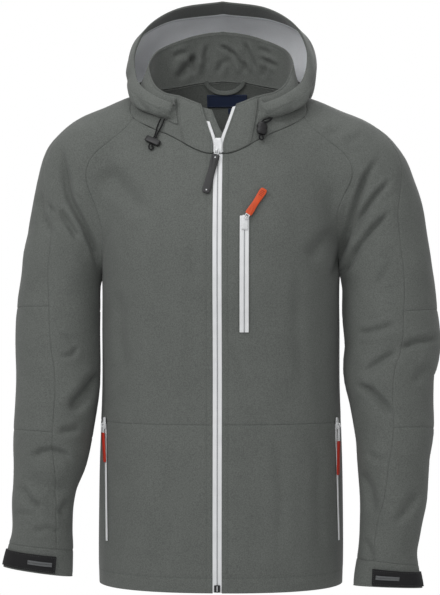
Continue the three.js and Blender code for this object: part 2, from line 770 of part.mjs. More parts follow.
function travelAtHeight(side, z) {
  const stations = sleeveLines[side];
  const i = stations.findIndex((station) => station.point[2] < z);
  const above = stations[i - 1];
  const below = stations[i];
  return mix(above.travelled, below.travelled, (above.point[2] - z) / (above.point[2] - below.point[2]));
}

// The turn and slant at which a station sees a point of the cloth
function sight(station, point) {
  const away = subtract(point, station.point);
  const out = dot(away, station.out);
  const front = dot(away, station.front);
  const turn = (Math.atan2(front, out) * 180) / Math.PI;
  return { turn, slant: dot(away, station.down) / Math.hypot(out, front) };
}

function ringPoint(station, turn, slant) {
  const outward = station.out.map((value) => value * Math.cos(radians(turn)));
  const level = add(outward, station.front, Math.sin(radians(turn)));
  return onCloth(sleeveForm, station.point, add(level, station.down, slant));
}

function sleeveRing(station, start, end, tilt = 0) {
  const ring = [];
  const addPoint = (turn, slant) => {
    ring.push(ringPoint(station, turn, slant + tilt * Math.cos(radians(turn))));
  };
  for (let i = 0; i < frontSleeveColumns; i += 1) {
    const share = i / frontSleeveColumns;
    addPoint(mix(start.turn, station.seam, share), start.slant * (1 - share));
  }
  for (let i = 0; i <= outerSleeveColumns; i += 1) {
    const share = i / outerSleeveColumns;
    addPoint(mix(station.seam, end.turn, share), end.slant * share);
  }
  return ring;
}

// The sleeve's edge along the neck seam, from the front corner over the shoulder to the back corner
function neckRing(side) {
  const sign = signOf(side);
  const top = 90;
  const front = evenSteps(frontCornerAngle, top, frontSleeveColumns).slice(0, -1);
  const back = evenSteps(top, backCornerAngle, outerSleeveColumns);
  return [...front, ...back].map((angle) => neckPoint(angle, sign));
}

function raglanRings(side) {
  const { front, back } = seams[side];
  const last = front.length - 1;
  const from = travelNear(side, neckPoint(90, signOf(side)).point);
  const to = travelNear(side, front[last].point);
  return front.slice(1).map((start, i) => {
    const station = stationAt(side, mix(from, to, (i + 1) / last));
    const end = back[i + 1];
    const startSight = sight(station, start.point);
    const endSight = sight(station, end.point);
    if (startSight.turn < 0) startSight.turn += 360;
    if (endSight.turn > 0) endSight.turn -= 360;
    const ring = sleeveRing(station, startSight, endSight);
    ring[0] = start;
    ring[ring.length - 1] = end;
    return ring;
  });
}

function armRings(side, travels) {
  const underarmTravel = travelNear(side, seams[side].front.at(-1).point);
  const underarmSight = sight(stationAt(side, underarmTravel), seams[side].front.at(-1).point);
  const underarmTurn = underarmSight.turn < 0 ? underarmSight.turn + 360 : underarmSight.turn;
  const { elbowBottom, cuffTop, tilt } = sleeveEnds[side];
  const slopeFrom = travelAtHeight(side, elbowBottom);
  const slopeTo = travelAtHeight(side, cuffTop);
  return travels.map((travelled) => {
    const settle = smoothStep(0, 60, travelled - underarmTravel);
    const turn = mix(underarmTurn, 180, settle);
    const slant = mix(underarmSight.slant, 0, settle);
    const slope = tilt * smoothStep(slopeFrom, slopeTo, travelled);
    return sleeveRing(stationAt(side, travelled), { turn, slant }, { turn: turn - 360, slant }, slope);
  });
}

function sleeveGrids(side) {
  const ends = sleeveEnds[side];
  const travelTo = (z) => travelAtHeight(side, z);
  const rings = (from, to, count) => armRings(side, evenSteps(from, to, count).slice(1));
  const underarmTravel = travelNear(side, seams[side].front.at(-1).point);
  const armhole = [neckRing(side), ...raglanRings(side)];
  const upper = [...armhole, ...rings(underarmTravel, travelTo(ends.elbowTop), 3)];
  const elbow = [upper.at(-1), ...rings(travelTo(ends.elbowTop), travelTo(ends.elbowBottom), 8)];
  const lower = [elbow.at(-1), ...rings(travelTo(ends.elbowBottom), travelTo(ends.cuffTop), 7)];
  const patchTop = ends.strapTop - cuffStrap.patchDrop;
  const strapEnd = ends.strapTop - cuffStrap.width;
  const cuffHeights = [ends.strapTop, patchTop, patchTop - cuffStrap.patchWidth, strapEnd, ends.cuffEnd];
  const cuff = [lower.at(-1), ...armRings(side, cuffHeights.map(travelTo))];
  const whole = [...upper, ...elbow.slice(1), ...lower.slice(1)];
  const outerOnly = (rings) => rings.map((ring) => ring.slice(frontSleeveColumns));
  return {
    front: whole.map((ring) => ring.slice(0, frontSleeveColumns + 1)),
    upper: outerOnly(upper),
    elbow: outerOnly(elbow),
    lower: outerOnly(lower),
    cuff: cuff.map((ring) => ring.slice(0, -1)),
  };
}

// Walls. A grid is rows of { point, normal } on the cloth's outer face.
function trimGrid(grid, amount, around) {
  const lastRow = grid.length - 1;
  const lastColumn = grid[0].length - 1;
  const pull = (at, towards) => unit(subtract(towards.point, at.point));
  return grid.map((row, r) => row.map((at, c) => {
    let point = at.point;
    if (r === 0) point = add(point, pull(at, grid[1][c]), amount);
    if (r === lastRow) point = add(point, pull(at, grid[lastRow - 1][c]), amount);
    if (!around && c === 0) point = add(point, pull(at, row[1]), amount);
    if (!around && c === lastColumn) point = add(point, pull(at, row[lastColumn - 1]), amount);
    return { point, normal: at.normal };
  }));
}

function signedVolume(points, triangles) {
  return triangles.reduce((sum, [a, b, c]) => sum + dot(points[a], cross(points[b], points[c])), 0);
}

function closedGeometry(points, triangles) {
  const outward = signedVolume(points, triangles) > 0;
  const order = triangles.flatMap(([a, b, c]) => (outward ? [a, b, c] : [a, c, b]));
  const geometry = new THREE.BufferGeometry();
  geometry.setAttribute('position', new THREE.Float32BufferAttribute(points.flat(), 3));
  geometry.setIndex(order);
  geometry.computeVertexNormals();
  return geometry;
}

function wallGeometry(grid, thickness, around = false) {
  const rows = grid.length;
  const columns = grid[0].length;
  const outer = grid.flat().map((at) => at.point);
  const inner = grid.flat().map((at) => add(at.point, at.normal, -thickness));
  const count = outer.length;
  const triangles = [];
  const quad = (a, b, c, d) => triangles.push([a, b, c], [a, c, d]);
  const spans = around ? columns : columns - 1;
  const index = (r, c) => r * columns + (c % columns);
  for (let r = 0; r < rows - 1; r += 1) {
    for (let c = 0; c < spans; c += 1) {
      const corners = [index(r, c), index(r, c + 1), index(r + 1, c + 1), index(r + 1, c)];
      quad(...corners);
      quad(corners[0] + count, corners[3] + count, corners[2] + count, corners[1] + count);
    }
  }
  for (let c = 0; c < spans; c += 1) {
    const low = [index(0, c), index(0, c + 1)];
    const high = [index(rows - 1, c), index(rows - 1, c + 1)];
    quad(low[1], low[0], low[0] + count, low[1] + count);
    quad(high[0], high[1], high[1] + count, high[0] + count);
  }
  if (!around) {
    for (let r = 0; r < rows - 1; r += 1) {
      const near = [index(r, 0), index(r + 1, 0)];
      const far = [index(r, columns - 1), index(r + 1, columns - 1)];
      quad(near[0], near[1], near[1] + count, near[0] + count);
      quad(far[1], far[0], far[0] + count, far[1] + count);
    }
  }
  return closedGeometry([...outer, ...inner], triangles);
}

function addWall(name, grid, colour, thickness = clothThickness, around = false) {
  addPiece(name, wallGeometry(trimGrid(grid, seamTrim, around), thickness, around), cloth(colour));
}

// A grid moved out along its normals, or in where the amount is negative
function movedGrid(grid, amount) {
  return grid.map((row) => row.map(({ point, normal }) => ({ point: add(point, normal, amount), normal })));
}

const panels = {
  lower: { right: frontLowerGrid('right'), left: frontLowerGrid('left') },
  upper: { right: frontUpperGrid('right'), left: frontUpperGrid('left') },
};

function addBody() {
  for (const side of ['right', 'left']) {
    addWall(`front_lower_${side}`, panels.lower[side], colours.shell);
    addWall(`front_upper_${side}`, panels.upper[side], colours.shell);
  }
  addWall('back', backGrid(), colours.shell);
}

function addSleeve(side) {
  const grids = sleeveGrids(side);
  addWall(`sleeve_front_${side}`, grids.front, colours.shell);
  addWall(`sleeve_upper_${side}`, grids.upper, colours.shell);
  addWall(`sleeve_elbow_${side}`, grids.elbow, colours.shell);
  addWall(`sleeve_lower_${side}`, grids.lower, colours.shell);
  addWall(`cuff_${side}`, grids.cuff, colours.shell, clothThickness, true);
  addCuffStrap(side, grids.cuff);
}

// A point of a cuff's ring between two of its columns
function ringBetween(ring, column) {
  const c = Math.floor(column);
  const point = mixPoints(ring[c].point, ring[c + 1].point, column - c);
  return { point, normal: unit(mixPoints(ring[c].normal, ring[c + 1].normal, column - c)) };
}

// The strap starts on the over-arm seam and goes round the outside. Columns count on from the seam.
const strapColumns = [0, 1, 2, 3, 4, 5, 6];
const patchColumns = [0.35, 1, 2, 2.5];

function addCuffStrap(side, cuff) {
  const overlay = (rings, columns, rise) => {
    const rows = rings.map((ring) => columns.map((column) => ringBetween(ring, frontSleeveColumns + column)));
    return movedGrid(rows, rise);
  };
  const strapRise = layerGap + strapThickness;
  const strap = overlay(cuff.slice(1, 5), strapColumns, strapRise);
  addWall(`cuff_strap_${side}`, strap, colours.black, strapThickness);
  const patch = overlay(cuff.slice(2, 4), patchColumns, strapRise + layerGap + patchThickness);
  addWall(`strap_patch_${side}`, patch, colours.grey, patchThickness);
}

// Normals of a grid that isn't worked out from the cloth's form, turned towards outward
function gridWithNormals(points, outward) {
  const lastRow = points.length - 1;
  const lastColumn = points[0].length - 1;
  return points.map((row, r) => row.map((point, c) => {
    const across = subtract(row[Math.min(c + 1, lastColumn)], row[Math.max(c - 1, 0)]);
    const up = subtract(points[Math.min(r + 1, lastRow)][c], points[Math.max(r - 1, 0)][c]);
    const normal = unit(cross(across, up));
    const flip = dot(normal, outward(point)) < 0 ? -1 : 1;
    return { point, normal: normal.map((value) => value * flip) };
  }));
}

// Collar. Signed plan angles run from the wearer's right front edge round the back to the left one.
const rimReach = smoothColumn(collarRim, 'angle', 'reach');
const rimHeight = smoothColumn(collarRim, 'angle', 'z');
const collarBulge = 2;
const collarRows = 5;
const flapAngle = { right: 27, left: 24.5 };
const flapSpread = 12;
const collarEdge = [
  { share: 0, x: 6.8 },
  { share: 0.25, x: 7.2 },
  { share: 0.6, x: 15 },
  { share: 1, x: 26 },
];
const collarEdgeX = smoothColumn(collarEdge, 'share', 'x');

function collarPoint(angle, sign, share) {
  const base = add(neckPoint(Math.abs(angle), sign).point, [0, 0, collarLift]);
  const reach = rimReach(Math.abs(angle));
  const level = planDirection(angle, sign).map((value) => value * reach);
  const rim = add(level, [0, 0, rimHeight(Math.abs(angle))]);
  const bulge = collarBulge * 4 * share * (1 - share);
  return add(mixPoints(base, rim, share), planDirection(angle, sign), bulge);
}

function edgeAngle(share) {
  const reach = mix(neckReach(5), rimReach(15), share);
  return (Math.asin(collarEdgeX(share) / reach) * 180) / Math.PI;
}

function collarAngles(share, side) {
  const front = evenSteps(edgeAngle(share), flapAngle[side] + flapSpread * share, 3);
  return [...front, ...evenSteps(front[3], 180, 13).slice(1)];
}

function awayFromNeck(point) {
  return [point[0], point[1], 0];
}

function collarGrid() {
  const rows = evenSteps(0, 1, collarRows).map((share) => {
    const right = collarAngles(share, 'right').map((angle) => collarPoint(angle, -1, share));
    const left = collarAngles(share, 'left').slice(0, -1).map((angle) => collarPoint(angle, 1, share));
    return [...right, ...left.reverse()];
  });
  return gridWithNormals(rows, awayFromNeck);
}

function addCollar() {
  const grid = collarGrid();
  addWall('collar', grid, colours.shell);
  const last = grid[0].length;
  const flap = (from, to) => movedGrid(grid.map((row) => row.slice(from, to)), layerGap + flapThickness);
  addWall('collar_front_right', flap(0, 4), colours.shell, flapThickness);
  addWall('collar_front_left', flap(last - 4, last), colours.shell, flapThickness);
}

// The wind flap behind the open V of the zip, on the wearer's right half of the collar
function addWindFlap() {
  const rows = evenSteps(0.28, 0.97, 4).map((share) => {
    const from = edgeAngle(share) + 4;
    const to = edgeAngle(share) - 10;
    return evenSteps(from, to, 3).map((angle) => {
      return collarPoint(Math.abs(angle), angle < 0 ? 1 : -1, share);
    });
  });
  const inset = -(clothThickness + layerGap + 0.4);
  addWall('wind_flap', movedGrid(gridWithNormals(rows, awayFromNeck), inset), colours.shell, 1.2);
}

// Hood: each section runs from the seam on the collar down, round the bottom and up to the rim
const hoodColumns = 15;
const hoodRows = 9;
const hoodLines = [hoodInner, hoodBottom, hoodOuter, hoodCrown, hoodRim].map((rows) => {
  return ['x', 'y', 'z'].map((name) => smoothColumn(rows, 'along', name));
});
const hoodSeamAngle = smoothColumn(hoodSeam, 'along', 'angle');
const hoodSeamShare = smoothColumn(hoodSeam, 'along', 'share');

function hoodSection(along, sign) {
  const seam = collarPoint(hoodSeamAngle(along), sign, hoodSeamShare(along));
  const start = add(seam, planDirection(hoodSeamAngle(along), sign), clothThickness + 0.9);
  const guides = hoodLines.map((reads) => reads.map((read) => read(along)));
  const knots = [start, ...guides.map(([x, y, z]) => [sign * x, y, z])];
  const curve = smoothCurve(knots);
  curve.arcLengthDivisions = 400;
  const length = curve.getLength();
  const band = Math.min(hoodBandWidth, 0.3 * length);
  const shares = evenSteps(0, 1 - band / length, hoodRows);
  shares.push(1 - band / length / 2, 1);
  return shares.map((share) => curve.getPointAt(share).toArray());
}

// Rows follow the rim from the wearer's right front end to the left one
function hoodPoints() {
  const steps = evenSteps(0, 1, hoodColumns);
  const right = steps.map((along) => hoodSection(along, -1));
  const left = steps.slice(0, -1).map((along) => hoodSection(along, 1));
  return [...right, ...left.reverse()];
}

// Outward is away from the pouch between the section's two ends
function hoodGrid() {
  const sections = hoodPoints();
  const lastSection = sections.length - 1;
  const lastPoint = sections[0].length - 1;
  return sections.map((section, r) => section.map((point, c) => {
    const along = subtract(section[Math.min(c + 1, lastPoint)], section[Math.max(c - 1, 0)]);
    const after = sections[Math.min(r + 1, lastSection)][c];
    const before = sections[Math.max(r - 1, 0)][c];
    return { point, normal: unit(cross(along, subtract(after, before))) };
  }));
}

const hoodLayerGap = 0.4;
const liningFirstSection = 5;

function addHood() {
  const grid = hoodGrid();
  addWall('hood', grid, colours.shell);
  const inside = movedGrid(grid, -(clothThickness + hoodLayerGap));
  const band = inside.map((section) => section.slice(hoodRows));
  addWall('hood_rim_band', band, colours.shell, liningThickness);
  const deep = inside.slice(liningFirstSection, inside.length - liningFirstSection);
  const lining = deep.map((section) => section.slice(1, hoodRows + 1));
  addWall('hood_lining', lining, colours.lining, liningThickness);
}

// A flat strip along a path, as rows across it
function stripGrid(path, width, normal) {
  return path.map((point, i) => {
    const run = subtract(path[Math.min(i + 1, path.length - 1)], path[Math.max(i - 1, 0)]);
    const across = unit(cross(run, normal));
    return [-0.5, 0, 0.5].map((share) => ({ point: add(point, across, share * width), normal }));
  });
}

// Hang loop and label on the inside of the back, just below the neck seam
const loopWidth = 4.5;
const hangLoop = [[-20, 10], [-16, 2], [-8, -4], [3, -6], [14, -4], [22, 3], [26, 10]];
const labelBox = { left: -25, right: 38, top: -8, bottom: -27 };
const labelTab = { left: 8, right: 14, top: -28.5, bottom: -37 };

function backInside(x, z) {
  const { point, normal } = onCloth(bodyForm, [x, 0, z], [0, 1, 0]);
  return { point, normal };
}

function insidePatch(box, columns, rows, depth) {
  const heights = evenSteps(box.bottom, box.top, rows);
  const grid = heights.map((z) => evenSteps(box.left, box.right, columns).map((x) => backInside(x, z)));
  return movedGrid(grid, -depth);
}

function addNeckPieces() {
  const loopDepth = clothThickness + 3;
  const path = hangLoop.map(([x, z]) => add(backInside(x, z).point, [0, -1, 0], loopDepth));
  addWall('hang_loop', stripGrid(path, loopWidth, [0, -1, 0]), colours.shell, 1);
  const labelDepth = clothThickness + layerGap + 0.4;
  addWall('neck_label', insidePatch(labelBox, 5, 2, labelDepth), colours.navy, 0.8);
  addWall('label_tab', insidePatch(labelTab, 1, 1, labelDepth), colours.navy, 0.8);
}

// Main zip: the closed tape from the hem to the slider, then one tape end along each collar edge
const zipEnds = { right: 0.68, left: 0.97 };
const collarZipGap = 0.35;

function addMainZip() {
  const heights = evenSteps(hemHeight + 1, neckEdgeHeight() - 0.6, 22);
  const rows = heights.map((z) => {
    const across = evenSteps(-zipTapeWidth / 2, zipTapeWidth / 2, 2);
    return across.map((x) => onCloth(bodyForm, [x, 0, z], [0, -1, 0]));
  });
  addWall('main_zip', rows, colours.white, zipTapeThickness);
  for (const side of ['right', 'left']) {
    const sign = signOf(side);
    const shares = evenSteps(0.03, zipEnds[side], 5);
    const points = shares.map((share) => {
      const reach = mix(neckReach(5), rimReach(15), share);
      const outerEdge = collarEdgeX(share) - collarZipGap;
      return [outerEdge, outerEdge - zipBranchWidth].map((x) => {
        const angle = (Math.asin(x / reach) * 180) / Math.PI;
        return collarPoint(Math.abs(angle), sign, share);
      });
    });
    addWall(`zip_end_${side}`, gridWithNormals(points, awayFromNeck), colours.white, zipTapeThickness);
  }
}

// Pocket zip tapes, on the facets of the panel that carries them
function onPanel(grid, from, direction) {
  const ray = new THREE.Ray(new THREE.Vector3(...from), new THREE.Vector3(...unit(direction)));
  const corner = (r, c) => new THREE.Vector3(...grid[r][c].point);
  const hit = new THREE.Vector3();
  for (let r = 0; r < grid.length - 1; r += 1) {
    for (let c = 0; c < grid[0].length - 1; c += 1) {
      const [a, b] = [corner(r, c), corner(r, c + 1)];
      const [d, e] = [corner(r + 1, c + 1), corner(r + 1, c)];
      const met = ray.intersectTriangle(a, b, d, false, hit) ?? ray.intersectTriangle(a, d, e, false, hit);
      if (met) return { point: met.toArray(), normal: clothNormal(bodyForm, met.toArray()) };
    }
  }
  throw new Error('the ray misses the panel');
}

function zipLine(zip, z) {
  const share = (zip.top - z) / (zip.top - zip.bottom);
  return onPanel(panels[zip.panel][zip.side], [mix(zip.x[0], zip.x[1], share), 0, z], [0, -1, 0]);
}

// How close a tape's rows may come to its ends, and how far behind the panel its rays start
const tapeRowGap = 3;
const behindPanel = 20;

function tapeGrid(zip) {
  const grid = panels[zip.panel][zip.side];
  const heights = grid.map((row) => row[1].point[2]);
  const between = heights.filter((z) => z > zip.bottom + tapeRowGap && z < zip.top - tapeRowGap);
  return [zip.bottom, ...between, zip.top].map((z) => {
    const centre = zipLine(zip, z);
    const across = unit(cross([0, 0, 1], centre.normal));
    return [-0.5, 0, 0.5].map((share) => {
      const inside = add(add(centre.point, across, share * zip.width), centre.normal, -behindPanel);
      return { point: onPanel(grid, inside, centre.normal).point, normal: centre.normal };
    });
  });
}

function addPocketZips() {
  for (const [name, zip] of Object.entries(pocketZips)) {
    const grid = movedGrid(tapeGrid(zip), layerGap + zipTapeThickness);
    addWall(`${name}_zip`, grid, colours.white, zipTapeThickness);
  }
}

// Joining closed shapes
const wasm = await Module();
wasm.setup();

function toSolid(geometry) {
  const bare = geometry.clone();
  bare.deleteAttribute('normal');
  bare.deleteAttribute('uv');
  const merged = BufferGeometryUtils.mergeVertices(bare);
  const vertProperties = new Float32Array(merged.attributes.position.array);
  const triVerts = new Uint32Array(merged.index.array);
  return new wasm.Manifold(new wasm.Mesh({ numProp: 3, vertProperties, triVerts }));
}

function fromSolid(solid) {
  const mesh = solid.getMesh();
  const geometry = new THREE.BufferGeometry();
  geometry.setAttribute('position', new THREE.Float32BufferAttribute(mesh.vertProperties, 3));
  geometry.setIndex([...mesh.triVerts]);
  geometry.computeVertexNormals();
  return geometry;
}

function joined(geometries) {
  const [first, ...rest] = geometries.map(toSolid);
  return fromSolid(rest.reduce((whole, solid) => whole.add(solid), first));
}

// A box with rounded upright edges, from its low corner to its high one
function roundedBox(low, high, radius) {
  const shape = new THREE.Shape();
  const corners = [[low[0], low[1]], [high[0], low[1]], [high[0], high[1]], [low[0], high[1]]];
  const turns = [180, 270, 0, 90];
  const inward = [[1, 1], [-1, 1], [-1, -1], [1, -1]];
  corners.forEach(([x, y], i) => {
    const centre = [x + inward[i][0] * radius, y + inward[i][1] * radius];
    shape.absarc(...centre, radius, radians(turns[i]), radians(turns[i] + 90));
  });
  shape.closePath();
  return { shape, depth: high[2] - low[2], base: low[2] };
}

function extruded({ shape, depth, base }) {
  const geometry = new THREE.ExtrudeGeometry(shape, { depth, bevelEnabled: false, curveSegments: 2 });
  return geometry.translate(0, 0, base);
}

// Sliders. In a slider's own frame x is across the zip, y up it and z away from the cloth.
const arch = { halfLength: 3.1, halfWidth: 0.9, height: 3.8, wall: 1.2, root: 0.5 };
const sliderOutline = { neck: 0.34, shoulder: 0.1, bow: 0.3 };
const sliderTop = sliderGap + sliderThickness;
const barRise = (arch.height - arch.wall) / 2;

function sliderBody({ width, length }) {
  const half = width / 2;
  const neck = sliderOutline.neck * width;
  const shoulder = sliderOutline.shoulder * length;
  const bow = sliderOutline.bow * length;
  const shape = new THREE.Shape();
  shape.moveTo(-half, -length / 2);
  shape.lineTo(half, -length / 2);
  shape.lineTo(half, shoulder);
  shape.quadraticCurveTo(half, bow, neck, length / 2);
  shape.lineTo(-neck, length / 2);
  shape.quadraticCurveTo(-half, bow, -half, shoulder);
  shape.closePath();
  return extruded({ shape, depth: sliderThickness, base: sliderGap });
}

// The bridge that the pull's bar runs through, turned with the pull
function sliderArch(bar, turn) {
  const outer = arch.halfLength;
  const inner = outer - arch.wall;
  const top = arch.height - arch.wall;
  const outline = [[-outer, -arch.root], [-outer, top], [-inner, arch.height], [inner, arch.height],
    [outer, top], [outer, -arch.root], [inner, -arch.root], [inner, top], [-inner, top],
    [-inner, -arch.root]];
  const shape = new THREE.Shape(outline.map((point) => new THREE.Vector2(...point)));
  const options = { depth: 2 * arch.halfWidth, bevelEnabled: false };
  const geometry = new THREE.ExtrudeGeometry(shape, options).translate(0, 0, -arch.halfWidth);
  const upright = new THREE.Matrix4().makeBasis(
    new THREE.Vector3(0, 1, 0),
    new THREE.Vector3(0, 0, 1),
    new THREE.Vector3(1, 0, 0),
  );
  return geometry.applyMatrix4(upright).rotateZ(turn).translate(bar[0], bar[1], sliderTop);
}

// In a pull's own frame the bar lies on x, y runs to the free end and z is away from the cloth
const pullFrame = { half: 3.4, hole: 2.2, bar: 0.8, thickness: 1.4, corner: 0.7, holeCorner: 0.5 };
const pullTab = { lap: 1, back: 0.95, corner: 1.8 };

function pullGeometry({ link, length, width, thickness }) {
  const { half, hole, bar, corner, holeCorner } = pullFrame;
  const low = -pullFrame.thickness / 2;
  const outer = roundedBox([-half, -bar, low], [half, link + pullTab.lap, -low], corner);
  const inner = roundedBox([-hole, bar, 0], [hole, link - pullTab.lap - bar, 0], holeCorner);
  outer.shape.holes.push(inner.shape);
  const tabLow = [-width / 2, link - pullTab.lap, -pullTab.back];
  const tab = roundedBox(tabLow, [width / 2, length, thickness - pullTab.back], pullTab.corner);
  return joined([extruded(outer), extruded(tab)]);
}

function place(mesh, origin, across, along, out) {
  const axes = [across, along, out].map((axis) => new THREE.Vector3(...axis));
  const basis = new THREE.Matrix4().makeBasis(...axes);
  mesh.position.set(...origin);
  mesh.quaternion.setFromRotationMatrix(basis);
}

// The part of a direction that is square to an axis
function squareTo(direction, axis) {
  return unit(add(direction, axis, -dot(direction, axis)));
}

// The main slider's seat: its drop below the slider, and its high point on the collar
const mainSeat = { drop: 2, angle: 3, share: 0.2 };

// Two points of the tape under the slider's ends, and the tape's height over the cloth there
function sliderSeat(name) {
  const { z, length } = sliders[name];
  const ends = [z - length / 2, z + length / 2];
  if (name === 'main') {
    const low = onCloth(bodyForm, [0, 0, ends[0] - mainSeat.drop], [0, -1, 0]);
    const [, y, z] = collarPoint(mainSeat.angle, 1, mainSeat.share);
    return { low: low.point, high: [0, y, z], normal: low.normal, rise: 0 };
  }
  const zip = pocketZips[name];
  const [low, high] = ends.map((height) => zipLine(zip, Math.min(height, zip.top)));
  return { low: low.point, high: high.point, normal: high.normal, rise: layerGap + zipTapeThickness };
}

function addSlider(name) {
  const slider = sliders[name];
  const seat = sliderSeat(name);
  const along = unit(subtract(seat.high, seat.low));
  const out = squareTo(seat.normal, along);
  const across = cross(along, out);
  const share = (slider.z - seat.low[2]) / (seat.high[2] - seat.low[2]);
  const origin = add(mixPoints(seat.low, seat.high, share), out, seat.rise);
  const inWorld = (x, y, z) => add(add(add(origin, across, x), along, y), out, z);
  const bar = inWorld(slider.bar[0], slider.bar[1], sliderTop + barRise);

  const [endX, endZ] = slider.end;
  const cloth = onCloth(bodyForm, [endX, 0, endZ], [0, -1, 0]);
  const end = add(cloth.point, cloth.normal, slider.lift);
  const toEnd = unit(subtract(end, bar));
  const pullOut = squareTo(out, toEnd);
  const turn = Math.atan2(-dot(toEnd, across), dot(toEnd, along));
  const geometry = joined([sliderBody(slider), sliderArch(slider.bar, turn)]);
  place(addPiece(`${name}_slider`, geometry, plastic(colours.white)), origin, across, along, out);

  const size = pullSizes[name];
  const length = Math.hypot(...subtract(end, bar));
  const pull = addPiece(`${name}_pull`, pullGeometry({ ...size, link: slider.link, length }),
    plastic(colours[size.colour]));
  place(pull, bar, cross(toEnd, pullOut), toEnd, pullOut);
}

// Cords and their locks
function addCord(side) {
  const corners = evenSteps(0, 2 * Math.PI, cordSides).slice(0, -1).map((turn) => {
    return new THREE.Vector2(Math.cos(turn), Math.sin(turn)).multiplyScalar(cordDiameter / 2);
  });
  const options = { steps: cordSteps, extrudePath: smoothCurve(cordRoutes[side]) };
  const geometry = new THREE.ExtrudeGeometry(new THREE.Shape(corners), options);
  addPiece(`cord_${side}`, geometry, cloth(colours.black));
}

// A block whose outline is seen along the cord, centred, with its height along y
function upright(width, depth, height, corner) {
  const block = roundedBox([-width / 2, -depth / 2, -height / 2], [width / 2, depth / 2, height / 2], corner);
  return extruded(block).rotateX(-Math.PI / 2);
}

function barrel({ width, depth, height, neck }) {
  const half = height / 2;
  const profile = [[0, -half], [neck, -half], [1, -0.6 * half], [1, 0.6 * half], [neck, half], [0, half]];
  const geometry = new THREE.LatheGeometry(profile.map((point) => new THREE.Vector2(...point)), 14);
  return geometry.scale(width / 2, 1, depth / 2);
}

function addCordLock(side, outer) {
  const { centre, facing, tilt } = cordLocks[side];
  const slot = upright(lockSlot.width, lockSlot.depth, 2 * lockBarrel.height, lockSlot.corner);
  const lock = addPiece(`cord_lock_${side}`, fromSolid(toSolid(outer).subtract(toSolid(slot))),
    plastic(colours.black));
  const out = unit(facing);
  const level = unit(cross([0, 0, 1], out));
  const up = cross(out, level);
  const turned = (first, second, angle) => {
    return add(first.map((value) => value * Math.cos(angle)), second, Math.sin(angle));
  };
  place(lock, centre, turned(level, up, -radians(tilt)), turned(up, level, radians(tilt)), out);
}

addBody();
addSleeve('right');
addSleeve('left');
addCollar();
addWindFlap();
addHood();
addNeckPieces();
addMainZip();
addPocketZips();
Object.keys(sliders).forEach(addSlider);
addCord('right');
addCord('left');
addCordLock('right', upright(lockBar.width, lockBar.depth, lockBar.height, lockBar.corner));
addCordLock('left', barrel(lockBarrel));

export default jacket;
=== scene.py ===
# Hooded softshell jacket in its hollow worn form: the cloth, zips, cords and studio.
# Lengths are millimetres until a mesh is made. +Z is up, the front faces -Y, the wearer's left is +X.
import math

import bpy
import numpy as np
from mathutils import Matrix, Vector


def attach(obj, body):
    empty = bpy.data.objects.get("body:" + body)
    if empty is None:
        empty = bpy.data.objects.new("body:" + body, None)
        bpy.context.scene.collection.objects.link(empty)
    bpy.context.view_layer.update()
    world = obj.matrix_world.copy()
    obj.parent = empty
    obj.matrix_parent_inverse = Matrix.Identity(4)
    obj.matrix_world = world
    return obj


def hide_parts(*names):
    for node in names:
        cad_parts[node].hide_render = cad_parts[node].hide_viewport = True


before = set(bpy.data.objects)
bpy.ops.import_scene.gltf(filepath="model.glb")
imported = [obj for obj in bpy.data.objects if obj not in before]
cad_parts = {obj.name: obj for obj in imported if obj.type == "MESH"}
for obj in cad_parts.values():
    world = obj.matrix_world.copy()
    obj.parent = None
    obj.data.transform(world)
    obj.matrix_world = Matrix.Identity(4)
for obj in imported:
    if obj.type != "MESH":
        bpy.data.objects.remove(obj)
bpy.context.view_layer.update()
scene = bpy.context.scene

# Camera: level, a little to the wearer's left of the front
CAMERA_DISTANCE = 3.1
CAMERA_TURN = math.radians(2.3)
CAMERA_TARGET = Vector((-0.0015, 0, -0.3245))
CAMERA_LENS = 166.9


def add_camera():
    data = bpy.data.cameras.new("camera")
    data.sensor_fit = "HORIZONTAL"
    data.sensor_width = 36
    data.lens = CAMERA_LENS
    data.clip_end = 30
    camera = bpy.data.objects.new("camera", data)
    scene.collection.objects.link(camera)
    away = Vector((math.sin(CAMERA_TURN), -math.cos(CAMERA_TURN), 0))
    camera.location = CAMERA_TARGET + away * CAMERA_DISTANCE
    camera.rotation_euler = (math.pi / 2, 0, CAMERA_TURN)
    scene.camera = camera


add_camera()


